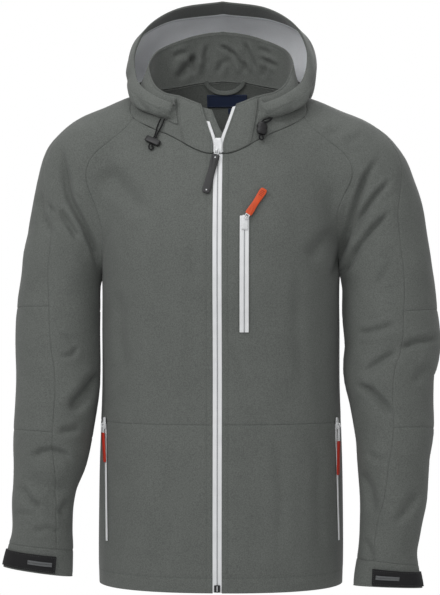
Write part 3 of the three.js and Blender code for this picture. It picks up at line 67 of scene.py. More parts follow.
# Materials. Every colour is linear.
class Nodes:
    """Node graph of one material."""

    def __init__(self, name):
        self.material = bpy.data.materials.new(name)
        self.material.use_nodes = True
        self.tree = self.material.node_tree
        self.shader = self.tree.nodes["Principled BSDF"]

    def add(self, kind, inputs=None, **settings):
        node = self.tree.nodes.new(kind)
        for key, value in settings.items():
            setattr(node, key, value)
        for key, value in (inputs or {}).items():
            self.put(node.inputs[key], value)
        return node

    def put(self, socket, value):
        if isinstance(value, bpy.types.NodeSocket):
            self.tree.links.new(value, socket)
        else:
            socket.default_value = value

    def shade(self, **values):
        for key, value in values.items():
            self.put(self.shader.inputs[key.replace("_", " ")], value)

    def noise(self, where, scale, detail=2.0, rough=0.5):
        inputs = {"Vector": where, "Scale": scale, "Detail": detail, "Roughness": rough}
        return self.add("ShaderNodeTexNoise", inputs).outputs["Fac"]

    def wave(self, where, scale, direction="X", distortion=0.0):
        inputs = {"Vector": where, "Scale": scale, "Distortion": distortion}
        settings = {"wave_type": "BANDS", "bands_direction": direction}
        return self.add("ShaderNodeTexWave", inputs, **settings).outputs["Fac"]

    def math(self, operation, a, b):
        return self.add("ShaderNodeMath", {0: a, 1: b}, operation=operation).outputs[0]

    def ramp(self, value, low, high, start=0.3, end=0.7):
        node = self.add("ShaderNodeValToRGB", {"Fac": value})
        node.color_ramp.elements[0].position = start
        node.color_ramp.elements[1].position = end
        node.color_ramp.elements[0].color = (*low, 1)
        node.color_ramp.elements[1].color = (*high, 1)
        return node.outputs["Color"]

    def mix(self, share, first, second, blend="MIX"):
        node = self.add("ShaderNodeMix", data_type="RGBA", blend_type=blend)
        sockets = [s for s in node.inputs if s.enabled]
        for socket, value in zip(sockets, (share, first, second)):
            self.put(socket, value)
        return [s for s in node.outputs if s.enabled][0]

    def bump(self, height, strength, distance):
        inputs = {"Height": height, "Strength": strength, "Distance": distance}
        return self.add("ShaderNodeBump", inputs).outputs["Normal"]

    def span(self, value, low, high):
        inputs = {"Value": value, "To Min": low, "To Max": high}
        return self.add("ShaderNodeMapRange", inputs).outputs["Result"]


def grey(level):
    return (level, level, level)


def scaled(colour, factor):
    return tuple(value * factor for value in colour)


def cloth_material(name, colour, speckle=0.2, twill=0.1, sheen=0.12):
    """Fine twill with a heathered face."""
    nodes = Nodes(name)
    place = nodes.add("ShaderNodeTexCoord")
    where = place.outputs["Object"]
    flat = place.outputs["UV"]
    speckles = nodes.noise(where, 620, 3, 0.6)
    clouds = nodes.noise(where, 26, 2)
    rib = nodes.wave(flat, 420, "DIAGONAL", 0.6)
    tint = nodes.ramp(speckles, scaled(colour, 1 - speckle), scaled(colour, 1 + speckle), 0.35, 0.65)
    ribs = nodes.ramp(rib, grey(1 - twill), grey(1 + twill * 0.5), 0.1, 0.9)
    shade = nodes.mix(1.0, tint, ribs, "MULTIPLY")
    worn = nodes.mix(1.0, shade, nodes.ramp(clouds, grey(0.96), grey(1.04), 0.3, 0.7), "MULTIPLY")
    height = nodes.math("ADD", nodes.math("MULTIPLY", rib, 0.6), speckles)
    nodes.shade(Base_Color=worn, Roughness=nodes.span(speckles, 0.72, 0.9))
    nodes.shade(Normal=nodes.bump(height, 0.25, 0.0003))
    nodes.shade(Sheen_Weight=sheen, Sheen_Roughness=0.45, Specular_IOR_Level=0.25)
    return nodes.material


def tape_material(name, colour):
    """Woven zip tape under a thin coat: fine ribs across it."""
    nodes = Nodes(name)
    flat = nodes.add("ShaderNodeTexCoord").outputs["UV"]
    where = nodes.add("ShaderNodeTexCoord").outputs["Object"]
    ribs = nodes.wave(flat, 330, "Y", 0.4)
    soil = nodes.noise(where, 60, 3)
    tint = nodes.ramp(soil, scaled(colour, 0.94), scaled(colour, 1.02))
    nodes.shade(Base_Color=tint, Roughness=nodes.span(ribs, 0.42, 0.55))
    nodes.shade(Normal=nodes.bump(ribs, 0.12, 0.0002), Specular_IOR_Level=0.4)
    return nodes.material


def moulded_material(name, colour, roughness, depth=0.15, coat=0.0):
    """Moulded plastic, rubber or lacquer with a fine grain."""
    nodes = Nodes(name)
    where = nodes.add("ShaderNodeTexCoord").outputs["Object"]
    fine = nodes.noise(where, 900, 2)
    broad = nodes.noise(where, 90, 3)
    nodes.shade(Base_Color=nodes.ramp(broad, scaled(colour, 0.9), scaled(colour, 1.08)))
    nodes.shade(Roughness=nodes.span(broad, roughness * 0.85, roughness * 1.15))
    nodes.shade(Normal=nodes.bump(fine, depth, 0.0001), Coat_Weight=coat)
    return nodes.material


def braid_material(name, colour):
    nodes = Nodes(name)
    where = nodes.add("ShaderNodeTexCoord").outputs["Object"]
    one = nodes.wave(where, 300, "DIAGONAL", 1.5)
    other = nodes.noise(where, 1500, 2)
    both = nodes.math("ADD", one, other)
    nodes.shade(Base_Color=nodes.ramp(both, scaled(colour, 0.4), scaled(colour, 1.3), 0.4, 1.0))
    nodes.shade(Roughness=0.85, Specular_IOR_Level=0.15, Normal=nodes.bump(both, 0.4, 0.0002))
    return nodes.material


SHELL = (0.113, 0.121, 0.113)
shell = cloth_material("softshell", SHELL)
shell_inside = cloth_material("softshell_inside", scaled(SHELL, 0.85), speckle=0.2, twill=0.03, sheen=0.25)
stitch = moulded_material("sewing_thread", scaled(SHELL, 0.62), 0.7)
lining = cloth_material("hood_lining", (0.9, 0.91, 0.93), speckle=0.03, twill=0.02, sheen=0.05)
binding = cloth_material("hood_light_strip", (0.66, 0.68, 0.7), speckle=0.04, twill=0.03, sheen=0.05)
label_cloth = cloth_material("label_navy", (0.012, 0.02, 0.05), speckle=0.1, twill=0.12, sheen=0.1)
tape = tape_material("zip_tape", (0.74, 0.75, 0.76))
# The zip's centre line is painted shade: a dark strip for the slit where the tape's halves meet.
tape_slit_shade = tape_material("zip_slit_shade", (0.3, 0.31, 0.32))
teeth = moulded_material("zip_teeth", (0.62, 0.63, 0.64), 0.35)
lacquer = moulded_material("slider_lacquer", (0.7, 0.71, 0.72), 0.28, coat=0.3)
orange = moulded_material("pull_orange", (0.58, 0.062, 0.005), 0.5, depth=0.25)
# The pulls' grooves are painted shade: a darker orange on low bands.
orange_groove_shade = moulded_material("pull_orange_groove_shade", (0.34, 0.03, 0.003), 0.6)
red = moulded_material("pull_red_side", (0.46, 0.02, 0.006), 0.5, depth=0.25)
black_rubber = moulded_material("pull_black", (0.011, 0.011, 0.012), 0.5, depth=0.25)
dots = moulded_material("pull_dots", (0.6, 0.61, 0.62), 0.5)
black_plastic = moulded_material("lock_black", (0.008, 0.008, 0.009), 0.5, depth=0.2)
strap_black = cloth_material("strap_black", (0.013, 0.013, 0.014), speckle=0.25, twill=0.1, sheen=0.05)
patch_grey = cloth_material("patch_grey", (0.12, 0.125, 0.128), speckle=0.1, twill=0.05, sheen=0.05)
cord_black = braid_material("cord_black", (0.014, 0.014, 0.015))


# Pieces
def new_piece(name, vertices, faces, materials, body="jacket", replaces=(), slot=None, faces_of=None,
              flat=None):
    """A mesh from points in millimetres. faces_of gives each face's material, flat each point's UV."""
    mesh = bpy.data.meshes.new(name)
    mesh.from_pydata((np.asarray(vertices) * 0.001).tolist(), [], faces)
    for entry in materials:
        mesh.materials.append(entry)
    if faces_of is not None:
        mesh.polygons.foreach_set("material_index", faces_of)
    mesh.polygons.foreach_set("use_smooth", [True] * len(mesh.polygons))
    if flat is not None:
        layer = mesh.uv_layers.new(name="cloth")
        corner = np.empty(len(mesh.loops), dtype=np.int32)
        mesh.loops.foreach_get("vertex_index", corner)
        layer.data.foreach_set("uv", (np.asarray(flat) * 0.001)[corner].ravel())
    mesh.update()
    piece = bpy.data.objects.new(name, mesh)
    scene.collection.objects.link(piece)
    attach(piece, body)
    if replaces:
        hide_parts(*replaces)
    return piece


# Cords. The routes are those of the cords' solids.
CORD_DIAMETER = 2.3
CORD_ROUTES = {
    "right": [
        (-85.5, -86.5, -60), (-88.5, -87.3, -66), (-91, -88.9, -73), (-92.6, -90.6, -80),
        (-95.5, -92.8, -88.3), (-100.9, -95.3, -97.6), (-102.6, -96.4, -101.5), (-101.6, -97.5, -105.3),
        (-98.6, -98, -106.4), (-96.2, -97.6, -103.6), (-98.5, -96.4, -98.7), (-93.1, -93.9, -89.4),
        (-90.5, -91.8, -82.5), (-87, -89.8, -76), (-83.5, -88.4, -69), (-80.2, -87.6, -60.2),
    ],
    "left": [
        (76.5, -91, -59.4), (73, -92.3, -60.9), (68, -94.3, -62.6), (64.2, -96.3, -65.7),
        (62, -103.1, -85.5), (60.3, -103.8, -88.5), (61.5, -104.4, -92), (64.5, -104, -92.8),
        (66.6, -103, -90), (64.4, -101.7, -86.3), (66.6, -94.9, -66.5), (71, -92.6, -66),
        (76, -90.3, -63.5), (79.5, -89, -59.6),
    ],
}


def catmull(points, count_or_places):
    """Centripetal Catmull-Rom points, at even places along the knots or at the given ones."""
    knots = np.asarray(points, float)
    last = len(knots) - 1
    places = count_or_places
    if np.isscalar(places):
        places = np.linspace(0, 1, places)
    position = np.clip(np.asarray(places, float), 0, 1) * last
    i = np.minimum(np.floor(position).astype(int), last - 1)
    t = (position - i)[:, None]
    padded = np.vstack([2 * knots[0] - knots[1], knots, 2 * knots[-1] - knots[-2]])
    p0, p1, p2, p3 = padded[i], padded[i + 1], padded[i + 2], padded[i + 3]
    pairs = (p0, p1), (p1, p2), (p2, p3)
    d0, d1, d2 = [np.sqrt(np.linalg.norm(b - a, axis=1))[:, None] for a, b in pairs]
    leave = ((p1 - p0) / d0 - (p2 - p0) / (d0 + d1) + (p2 - p1) / d1) * d1
    arrive = ((p2 - p1) / d1 - (p3 - p1) / (d1 + d2) + (p3 - p2) / d2) * d1
    return (p1 + leave * t + (-3 * p1 + 3 * p2 - 2 * leave - arrive) * t ** 2
            + (2 * p1 - 2 * p2 + leave + arrive) * t ** 3)


def travel_along(points):
    """How far along a line each of its points is."""
    return np.concatenate([[0], np.cumsum(np.linalg.norm(np.diff(points, axis=0), axis=1))])


def read_along(travelled, values, at):
    """Rows of values, known at the travelled places of a line, read at others."""
    return np.stack([np.interp(at, travelled, values[:, k]) for k in range(3)], axis=1)


def even_curve(points, steps):
    """Points at even lengths along the Catmull-Rom curve, or at given shares of it, and its length."""
    dense = catmull(points, 401)
    travelled = travel_along(dense)
    shares = np.linspace(0, 1, steps) if np.isscalar(steps) else np.asarray(steps)
    return read_along(travelled, dense, shares * travelled[-1]), travelled[-1]


def add_cord(side):
    route, length = even_curve(CORD_ROUTES[side], 56)
    data = bpy.data.curves.new(f"hood_cord_{side}", "CURVE")
    data.dimensions = "3D"
    data.bevel_depth = CORD_DIAMETER / 2000
    data.bevel_resolution = 3
    data.use_fill_caps = True
    spline = data.splines.new("POLY")
    spline.points.add(len(route) - 1)
    for point, at in zip(spline.points, route * 0.001):
        point.co = (*at, 1)
    spline.use_smooth = True
    data.materials.append(cord_black)
    piece = bpy.data.objects.new(f"hood_cord_{side}", data)
    scene.collection.objects.link(piece)
    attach(piece, "jacket")
    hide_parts(f"cord_{side}")
    return piece, route[0] * 0.001, length * 0.001


cords = {side: add_cord(side) for side in ("right", "left")}

# The jacket's form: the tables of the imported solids, and the same surfaces worked out finely.
HEM_HEIGHT = -754
WAIST_HEIGHT = -510
COLLAR_LIFT = 0.7
ZIP_WIDTH = 13
BRANCH_WIDTH = 4.5
CLOTH = 1.6

# Height, half width, depth to the front, depth to the back
TORSO = np.array([
    (-800, 183, 139, 129), (-700, 185, 142, 130), (-600, 184, 140, 125), (-518, 182, 136, 118),
    (-450, 180, 134, 114), (-380, 180, 138, 118), (-300, 180, 145, 129), (-230, 186, 143, 132),
    (-160, 188, 127, 124), (-100, 176, 105, 112), (-60, 148, 86, 98), (-30, 118, 72, 88),
    (0, 92, 60, 76), (40, 76, 48, 56),
], float)
TORSO_ROUNDNESS = 2.3

# Distance out, depth, height, half width, half depth, over-arm seam's angle
SLEEVES = {
    "right": np.array([
        (20, 0, -50, 60, 58, 0), (104, -2, -84, 72, 66, 0), (149.5, -5, -103, 72, 69, 4),
        (183.5, -7, -118, 72, 71, 10), (200, -8, -135, 72, 71, 20), (209, -9, -162, 71, 70, 36),
        (218, -10, -205, 71, 69, 60), (226.5, -12, -240, 68.5, 68, 68), (236.5, -14, -270, 64.5, 66, 74),
        (242, -16, -300, 61, 64, 78), (244.5, -18, -328, 62.5, 63, 82), (245.5, -24, -396, 64.5, 62, 86),
        (244.5, -30, -452, 63.5, 60, 92), (251, -37, -524, 60, 57, 95), (255, -42, -564, 56, 53, 100),
        (262, -46, -602, 48.5, 48, 117), (265.5, -50, -636, 46, 45, 123), (266, -53, -672, 45.5, 41, 127),
        (267, -55, -693, 48, 37, 131), (272.5, -57, -737, 53, 32, 137), (275.5, -58, -757, 54, 31, 138),
    ], float),
    "left": np.array([
        (20, 0, -54, 60, 58, 0), (106, -2, -90, 73, 66, 0), (152, -5, -109, 73, 69, 4),
        (191, -7, -127, 74, 72, 12), (210, -8, -145, 75, 72, 28), (221.5, -9, -172, 75, 71, 44),
        (231.5, -10, -205, 75, 70, 60), (240.5, -12, -243, 72.5, 68, 65), (247.5, -14, -273, 70.5, 66, 68),
        (252.5, -16, -303, 69.5, 65, 70), (254.5, -18, -345, 71.5, 65, 73), (259, -22, -397, 72, 64, 79),
        (253.5, -27, -435, 69, 62, 84), (257, -31, -477, 63, 60, 90), (261, -36, -527, 59, 56, 93),
        (259, -41, -564, 54, 52, 98), (259, -46, -621, 50, 47, 108), (254.5, -50, -667, 46, 42, 121),
        (250.5, -53, -701, 44, 38, 124), (249.5, -55, -736, 49, 34, 127), (250.5, -57, -761, 52, 31, 131),
        (251.5, -58, -780, 53, 30, 132),
    ], float),
}
SLEEVE_ENDS = {
    "right": {"elbow_top": -343, "elbow_bottom": -530, "cuff_top": -697,
              "strap_top": -707, "end": -734, "tilt": 0},
    "left": {"elbow_top": -350, "elbow_bottom": -522, "cuff_top": -717,
             "strap_top": -728, "end": -754, "tilt": 0.08},
}
STRAP_WIDTH = 24
PATCH_DROP = 9
PATCH_WIDTH = 6

# Plan angle from the centre front, plan reach, height
NECK_SEAM = np.array([
    (0, 97, -107.5), (10, 98, -106), (20.5, 102, -100), (29, 108, -93), (39.6, 113, -83), (50.7, 121, -73),
    (63.2, 134, -57), (76, 125, -26), (90, 113, -10), (110, 106, -3), (130, 94, 4), (152, 81, 10),
    (180, 75, 14),
], float)
COLLAR_RIM = np.array([
    (0, 86, -46), (17, 89, -39), (39.7, 98, -24), (50.5, 104, -19), (62.5, 108, -7), (77, 110, 17),
    (90, 110, 33), (110, 101, 58), (132, 76, 76), (155, 63, 84), (180, 58, 87),
], float)
FRONT_CORNER = 63.2
BACK_CORNER = 130
RAGLAN_FRONT = [(143, -72, -73), (166, -78, -91), (187, -80, -110), (199, -82, -129), (204, -84, -150),
                (200, -85, -174), (190, -82, -200)]
RAGLAN_BACK = [(94, 74, -20), (122, 80, -48), (150, 84, -80), (172, 85, -112), (184, 85, -140),
               (189, 82, -168),
               (187, 76, -196)]
CREASE_RISES = [68, 48, 28, 13, 4]

# Large folds: path seen from the front as (x, z), sink, half width, side (-1 front, 1 back, 0 all round)
FOLDS = [
    ([(-240, -91), (-226, -168), (-200, -219), (-181, -290)], 9, 14, -1),
    ([(-240, -198), (-223, -220), (-209, -239)], 4, 10, -1),
    ([(-271, -167), (-263, -204), (-249, -232)], 3.5, 11, -1),
    ([(-173, -130), (-139, -163), (-110, -203)], 3.5, 24, -1),
    ([(-149, -309), (-145, -373), (-132, -475)], 3, 24, -1),
    ([(-221, -492), (-198, -465), (-186, -439)], 4, 13, -1),
    ([(-284, -563), (-252, -549), (-221, -566)], 5, 12, -1),
    ([(-298, -597), (-255, -604), (-220, -618)], 6, 13, 0),
    ([(240, -116), (208, -168), (181, -243), (171, -300)], 8, 14, -1),
    ([(255, -148), (209, -210), (192, -244)], 5, 12, -1),
    ([(255, -196), (224, -232), (191, -286)], 5, 12, -1),
    ([(172, -221), (148, -245), (134, -268)], 3, 20, -1),
    ([(327, -384), (260, -401), (208, -444)], 5, 13, -1),
    ([(210, -455), (237, -471), (254, -500)], 5, 12, -1),
    ([(210, -583), (223, -607), (230, -643)], 4, 12, -1),
    ([(294, -609), (278, -631), (260, -650)], 4, 12, -1),
    ([(-240, -100), (-226, -170), (-203, -225), (-184, -290)], 7, 15, 1),
    ([(244, -110), (216, -170), (190, -232), (178, -295)], 7, 15, 1),
    ([(-70, -170), (-84, -300), (-66, -440)], 4, 28, 1),
    ([(62, -190), (78, -310), (52, -450)], 4, 28, 1),
    ([(-300, -400), (-262, -420), (-214, -462)], 5, 13, 1),
    ([(308, -420), (268, -440), (220, -470)], 5, 13, 1),
    ([(-292, -560), (-262, -580), (-226, -566)], 4, 12, 1),
    ([(296, -590), (262, -610), (222, -600)], 4, 12, 1),
]

# Hood guide lines from the front end to the centre back, wearer's left side
HOOD_ALONG = np.array([0, 0.15, 0.3, 0.42, 0.55, 0.7, 0.85, 1])
HOOD_SEAM = np.array([(43, 0.4), (50, 0.38), (63, 0.46), (78, 0.4), (96, 0.24), (115, 0.15), (144, 0.12),
                      (180, 0.12)])
HOOD_LINES = [np.array(rows, float) for rows in (
    [(74, -87, -61), (92, -81, -56), (121, -62, -38), (131, -27, -9), (120, 12, -3), (104, 48, -2),
     (62, 88, -16), (0, 106, -32)],
    [(73, -92.5, -57), (97, -88, -53), (129, -67, -35), (139, -28, -7), (134, 16, -9), (130, 78, -28),
     (88, 138, -62), (0, 158, -84)],
    [(71, -96.5, -49), (99, -91, -41), (131, -64, -20), (142, -23, 8), (144, 20, 26), (142, 80, 30),
     (104, 150, 15), (0, 188, -5)],
    [(69, -95, -42), (98, -87, -32), (128, -58, -10), (139, -18, 20), (140, 18, 48), (132, 62, 74),
     (90, 118, 88), (0, 146, 96)],
    [(67, -91.5, -38), (94, -80, -26), (120, -53, -4), (131, -16, 28), (130, 10, 60), (110, 30, 96),
     (66, 48, 123), (0, 58, 134)],
)]
HOOD_BAND = 22


def unit(vectors):
    vectors = np.asarray(vectors, float)
    return vectors / np.maximum(np.linalg.norm(vectors, axis=-1, keepdims=True), 1e-9)


def mix(a, b, share):
    return a + (b - a) * share


def smooth_step(start, end, value):
    share = np.clip((value - start) / (end - start), 0, 1)
    return share * share * (3 - 2 * share)


def smooth_along(at, values, wanted):
    """A smooth reading at the wanted places of values known at rising places."""
    at = np.asarray(at, float)
    values = np.asarray(values, float)
    last = len(at) - 1
    before = np.maximum(np.arange(last + 1) - 1, 0)
    after = np.minimum(np.arange(last + 1) + 1, last)
    shape = (-1,) + (1,) * (values.ndim - 1)
    slope = (values[after] - values[before]) / (at[after] - at[before]).reshape(shape)
    wanted = np.asarray(wanted, float)
    i = np.clip(np.searchsorted(at, wanted, side="left") - 1, 0, last - 1)
    step = at[i + 1] - at[i]
    t = np.clip((wanted - at[i]) / step, 0, 1)
    if values.ndim > 1:
        step = step.reshape(step.shape + (1,) * (values.ndim - 1))
        t = t.reshape(t.shape + (1,) * (values.ndim - 1))
    s = 1 - t
    start = values[i] * (1 + 2 * t) + slope[i] * step * t
    end = values[i + 1] * (1 + 2 * s) - slope[i + 1] * step * s
    return start * s * s + end * t * t


def torso_distance(p):
    """How far points lie outside the torso, negative inside."""
    x, y, z = p[..., 0], p[..., 1], p[..., 2]
    half, front, back = np.moveaxis(smooth_along(TORSO[:, 0], TORSO[:, 1:], z), -1, 0)
    through = np.abs(y) / np.where(y < 0, front, back)
    ratio = ((np.abs(x) / half) ** TORSO_ROUNDNESS + through ** TORSO_ROUNDNESS) ** (1 / TORSO_ROUNDNESS)
    return np.where(ratio < 0.05, -50, np.hypot(x, y) * (1 - 1 / np.maximum(ratio, 0.05)))


def signed(side):
    return 1 if side == "left" else -1


def sleeve_line(side):
    """The arm's centre line as close stations, with the sleeve's size and seam angle at each."""
    rows = SLEEVES[side]
    last = (len(rows) - 1) * 4
    places = np.arange(last + 1) / last
    points = catmull(rows[:, :3] * (signed(side), 1, 1), places)
    sizes = smooth_along(np.arange(len(rows)), rows[:, 3:], np.arange(last + 1) / 4)
    return {"point": points, "size": sizes, "travelled": travel_along(points)}


LINES = {side: sleeve_line(side) for side in ("right", "left")}


def sleeve_distance(p, side):
    line = LINES[side]
    start, run = line["point"][:-1], np.diff(line["point"], axis=0)
    reach = (run * run).sum(1)
    flat = p.reshape(-1, 3)
    result = np.empty(len(flat))
    for low in range(0, len(flat), 20000):
        q = flat[low:low + 20000]
        along = (q @ run.T - (start * run).sum(1)) / reach
        t = np.clip(along, 0, 1)
        gap = ((q * q).sum(1)[:, None] - 2 * q @ start.T + (start * start).sum(1)
               - 2 * t * along * reach + t * t * reach)
        best = gap.argmin(1)
        share = t[np.arange(len(q)), best][:, None]
        centre = start[best] + run[best] * share
        size = mix(line["size"][best], line["size"][best + 1], share)
        in_plane = np.hypot(q[:, 0] - centre[:, 0], q[:, 2] - centre[:, 2])
        depth = q[:, 1] - centre[:, 1]
        ratio = np.hypot(in_plane / size[:, 0], depth / size[:, 1])
        far = np.hypot(in_plane, depth) * (1 - 1 / np.maximum(ratio, 0.05))
        result[low:low + 20000] = np.where(ratio < 0.05, -40, far)
    return result.reshape(p.shape[:-1])


def underarm_height(side):
    low, high = -340.0, -240.0
    for _ in range(30):
        middle = (low + high) / 2
        half = smooth_along(TORSO[:, 0], TORSO[:, 1], middle)
        touch = sleeve_distance(np.array([signed(side) * half, 0, middle]), side)
        low, high = (middle, high) if touch > 0 else (low, middle)
    return (low + high) / 2


UNDERARM = {side: underarm_height(side) for side in ("right", "left")}


def path_distance(x, z, path):
    """Distance from points to a path in the front view, and how far along it the nearest place is."""
    nearest = np.full(np.shape(x), np.inf)
    along = np.zeros(np.shape(x))
    steps = len(path) - 1
    for i in range(steps):
        (x0, z0), (x1, z1) = path[i], path[i + 1]
        run = (x1 - x0, z1 - z0)
        t = np.clip(((x - x0) * run[0] + (z - z0) * run[1]) / (run[0] ** 2 + run[1] ** 2), 0, 1)
        distance = np.hypot(x - x0 - run[0] * t, z - z0 - run[1] * t)
        closer = distance < nearest
        nearest = np.where(closer, distance, nearest)
        along = np.where(closer, (i + t) / steps, along)
    return nearest, along


def middle_depth(z):
    return -8 + np.minimum(0, z + 200) * 0.085


def fold_table(folds):
    """Three segments for each fold, as arrays, with each segment's place along its path."""
    start, run, step = [], [], []
    for path, *_ in folds:
        points = np.array(path, float)
        pick = np.minimum(np.arange(3), len(points) - 2)
        start.append(points[pick])
        run.append(points[pick + 1] - points[pick])
        step.append(pick)
    sizes = np.array([fold[1:] for fold in folds], float)
    counts = np.array([len(fold[0]) - 1 for fold in folds], float)
    return np.array(start), np.array(run), np.array(step, float), counts, sizes


FOLD_TABLE = fold_table(FOLDS)


def fold_sink(p):
    flat = p.reshape(-1, 3)
    result = np.empty(len(flat))
    start, run, step, counts, sizes = FOLD_TABLE
    depth, width, facing = sizes.T
    for low in range(0, len(flat), 10000):
        q = flat[low:low + 10000]
        away = q[:, None, None, [0, 2]] - start
        t = np.clip((away * run).sum(-1) / (run * run).sum(-1), 0, 1)
        gap = away - run * t[..., None]
        distance = (gap * gap).sum(-1)
        best = distance.argmin(-1)[..., None]
        nearest = np.sqrt(np.take_along_axis(distance, best, -1)[..., 0])
        along = (np.take_along_axis(step + t, best, -1)[..., 0]) / counts
        out = facing * (q[:, 1] - middle_depth(q[:, 2]))[:, None]
        shown = np.where(facing == 0, 1, smooth_step(5, 35, out))
        taper = smooth_step(0, 0.3, along) * smooth_step(0, 0.3, 1 - along)
        each = np.where(nearest > 3 * width, 0, depth * shown * taper * np.exp(-(nearest / width) ** 2))
        result[low:low + 10000] = each.sum(-1)
    return result.reshape(p.shape[:-1])


def smooth_union(a, b, reach):
    near = np.maximum(reach - np.abs(a - b), 0) / np.maximum(reach, 0.01)
    return np.minimum(a, b) - near * near * reach / 4


def by_side(p, work):
    """work(points, side) on each side's own points."""
    left = p[..., 0] >= 0
    result = np.empty(left.shape)
    for side, here in (("left", left), ("right", ~left)):
        if here.any():
            result[here] = work(p[here], side)
    return result


def body_form(p):
    """The cloth's outer surface is where this is zero."""
    def work(q, side):
        above = q[:, 2] - UNDERARM[side]
        torso = torso_distance(q)
        whole = smooth_union(torso, sleeve_distance(q, side), 30 * smooth_step(0, 90, above))
        return np.where(above < 0.5, torso, whole) + fold_sink(q)
    return by_side(p, work)


def sleeve_form(p):
    """The sleeve's own form, clear of the torso below the underarm."""
    def work(q, side):
        above = q[:, 2] - UNDERARM[side]
        sink = fold_sink(q)
        torso = torso_distance(q)
        sleeve = sleeve_distance(q, side)
        whole = np.where(above < 0.5, sleeve, smooth_union(torso, sleeve, 30 * smooth_step(0, 90, above)))
        clear = 3 * np.clip(-above / 8, 0, 1) - 5 * np.maximum(0, above - 60)
        return np.maximum(whole + sink, clear - torso - sink)
    return by_side(p, work)


def torso_cloth(p):
    return torso_distance(p) + fold_sink(p)


def form_normal(form, points, reach=4.0):
    slope = [form(points + step) - form(points - step) for step in np.eye(3) * reach]
    return unit(np.stack(slope, axis=-1))


def on_cloth(form, start, direction, with_normals=True):
    """Where rays from inside first reach the cloth, and the outward direction there."""
    ray, start = np.broadcast_arrays(np.atleast_2d(unit(direction)), np.asarray(start, float))
    inside = np.zeros(len(ray))
    outside = np.full(len(ray), 6.0)
    busy = np.arange(len(ray))
    while len(busy):
        still = form(start[busy] + ray[busy] * outside[busy, None]) < 0
        busy = busy[still & (outside[busy] < 400)]
        inside[busy] = outside[busy]
        outside[busy] += 6
    for _ in range(20):
        middle = (inside + outside) / 2
        within = form(start + ray * middle[:, None]) < 0
        inside = np.where(within, middle, inside)
        outside = np.where(within, outside, middle)
    points = start + ray * ((inside + outside) / 2)[:, None]
    return (points, form_normal(form, points)) if with_normals else points


def front_spot(x, z):
    """The cloth's place and outward direction straight in front of a place in the middle plane."""
    return [found[0] for found in on_cloth(body_form, (x, 0, z), (0, -1, 0))]


def plan_direction(angle, sign, rise=0.0):
    turn = np.radians(angle)
    return np.stack(np.broadcast_arrays(sign * np.sin(turn), -np.cos(turn), rise), axis=-1)


NECK_AXIS = np.array([0, 0, -60.0])


def neck_points(angles, sign):
    angles = np.atleast_1d(np.asarray(angles, float))
    reach, height = np.moveaxis(smooth_along(NECK_SEAM[:, 0], NECK_SEAM[:, 1:], angles), -1, 0)
    return on_cloth(body_form, NECK_AXIS, plan_direction(angles, sign, (height - NECK_AXIS[2]) / reach))


def crease_points(side, facing):
    """The seam just above the underarm, in the crease where torso and sleeve cross."""
    sign = signed(side)
    z = UNDERARM[side] + np.array(CREASE_RISES, float)
    axis = np.stack([0 * z, 0 * z, z], axis=-1)
    inside = np.full(len(z), 90.0)
    outside = np.full(len(z), 40.0 if facing < 0 else 140.0)
    for _ in range(22):
        angle = (inside + outside) / 2
        points = on_cloth(torso_cloth, axis, plan_direction(angle, sign), False)
        touch = sleeve_distance(points, side) + fold_sink(points) < 0
        inside, outside = np.where(touch, angle, inside), np.where(touch, outside, angle)
    straight = np.array((0.0, facing, 0.0))
    crease = on_cloth(body_form, points - straight * 10, straight, False)
    sleeve_cloth = form_normal(lambda p: sleeve_distance(p, side) + fold_sink(p), crease)
    return crease, unit(form_normal(torso_cloth, crease) + sleeve_cloth)


def raglan_seam(side, rows, corner_angle):
    """Points and normals from the neck corner down to the underarm."""
    sign = signed(side)
    corner = neck_points(corner_angle, sign)
    rows = np.array(rows, float) * (sign, 1, 1)
    start = rows * (0.5, 0, 1)
    middle = on_cloth(body_form, start, rows - start)
    crease = crease_points(side, -1 if corner_angle < 90 else 1)
    end = on_cloth(body_form, (sign * 90, 0, UNDERARM[side]), (sign, 0, 0), False)
    points = np.vstack([corner[0], middle[0], crease[0], end])
    return points, np.vstack([corner[1], middle[1], crease[1], [(0, 0, -1)]])


RAGLAN = {side: {"front": raglan_seam(side, RAGLAN_FRONT, FRONT_CORNER),
                 "back": raglan_seam(side, RAGLAN_BACK, BACK_CORNER)} for side in ("right", "left")}
LOWER_HEIGHTS = np.linspace(HEM_HEIGHT, WAIST_HEIGHT, 8)
NECK_EDGE = neck_points(4, 1)[0][0, 2]


def upper_heights(side):
    return np.linspace(WAIST_HEIGHT, UNDERARM[side], 8)[:-1]


def zip_edge(side, z):
    start = np.stack(np.broadcast_arrays(signed(side) * (ZIP_WIDTH / 2 + 0.2), 0.0, z), axis=-1)
    return on_cloth(body_form, start, (0, -1, 0))


def side_points(side, z):
    start = np.stack(np.broadcast_arrays(0.0, 0.0, z), axis=-1)
    return on_cloth(body_form, start, (signed(side), 0, 0))


def plan_angle(points):
    return np.degrees(np.arctan2(np.abs(points[..., 0]), -points[..., 1]))


def front_rows(side, start, end, lift):
    """Rows of a front panel between its two edges, by plan angle, on level rays from the axis."""
    share = np.linspace(0, 1, 10)
    angle = mix(plan_angle(start[0])[:, None], plan_angle(end[0])[:, None], share)
    z = mix(start[0][:, 2:], end[0][:, 2:], share) + lift(angle, share)
    origin = np.stack([0 * z, 0 * z, z], axis=-1)
    rays = plan_direction(angle, signed(side)).reshape(-1, 3)
    found = on_cloth(body_form, origin.reshape(-1, 3), rays)
    points, normals = [part.reshape(origin.shape) for part in found]
    points[:, 0], points[:, -1] = start[0], end[0]
    normals[:, 0], normals[:, -1] = start[1], end[1]
    return points, normals


def front_lower(side):
    start, end = zip_edge(side, LOWER_HEIGHTS), side_points(side, LOWER_HEIGHTS)
    return front_rows(side, start, end, lambda angle, share: 0)


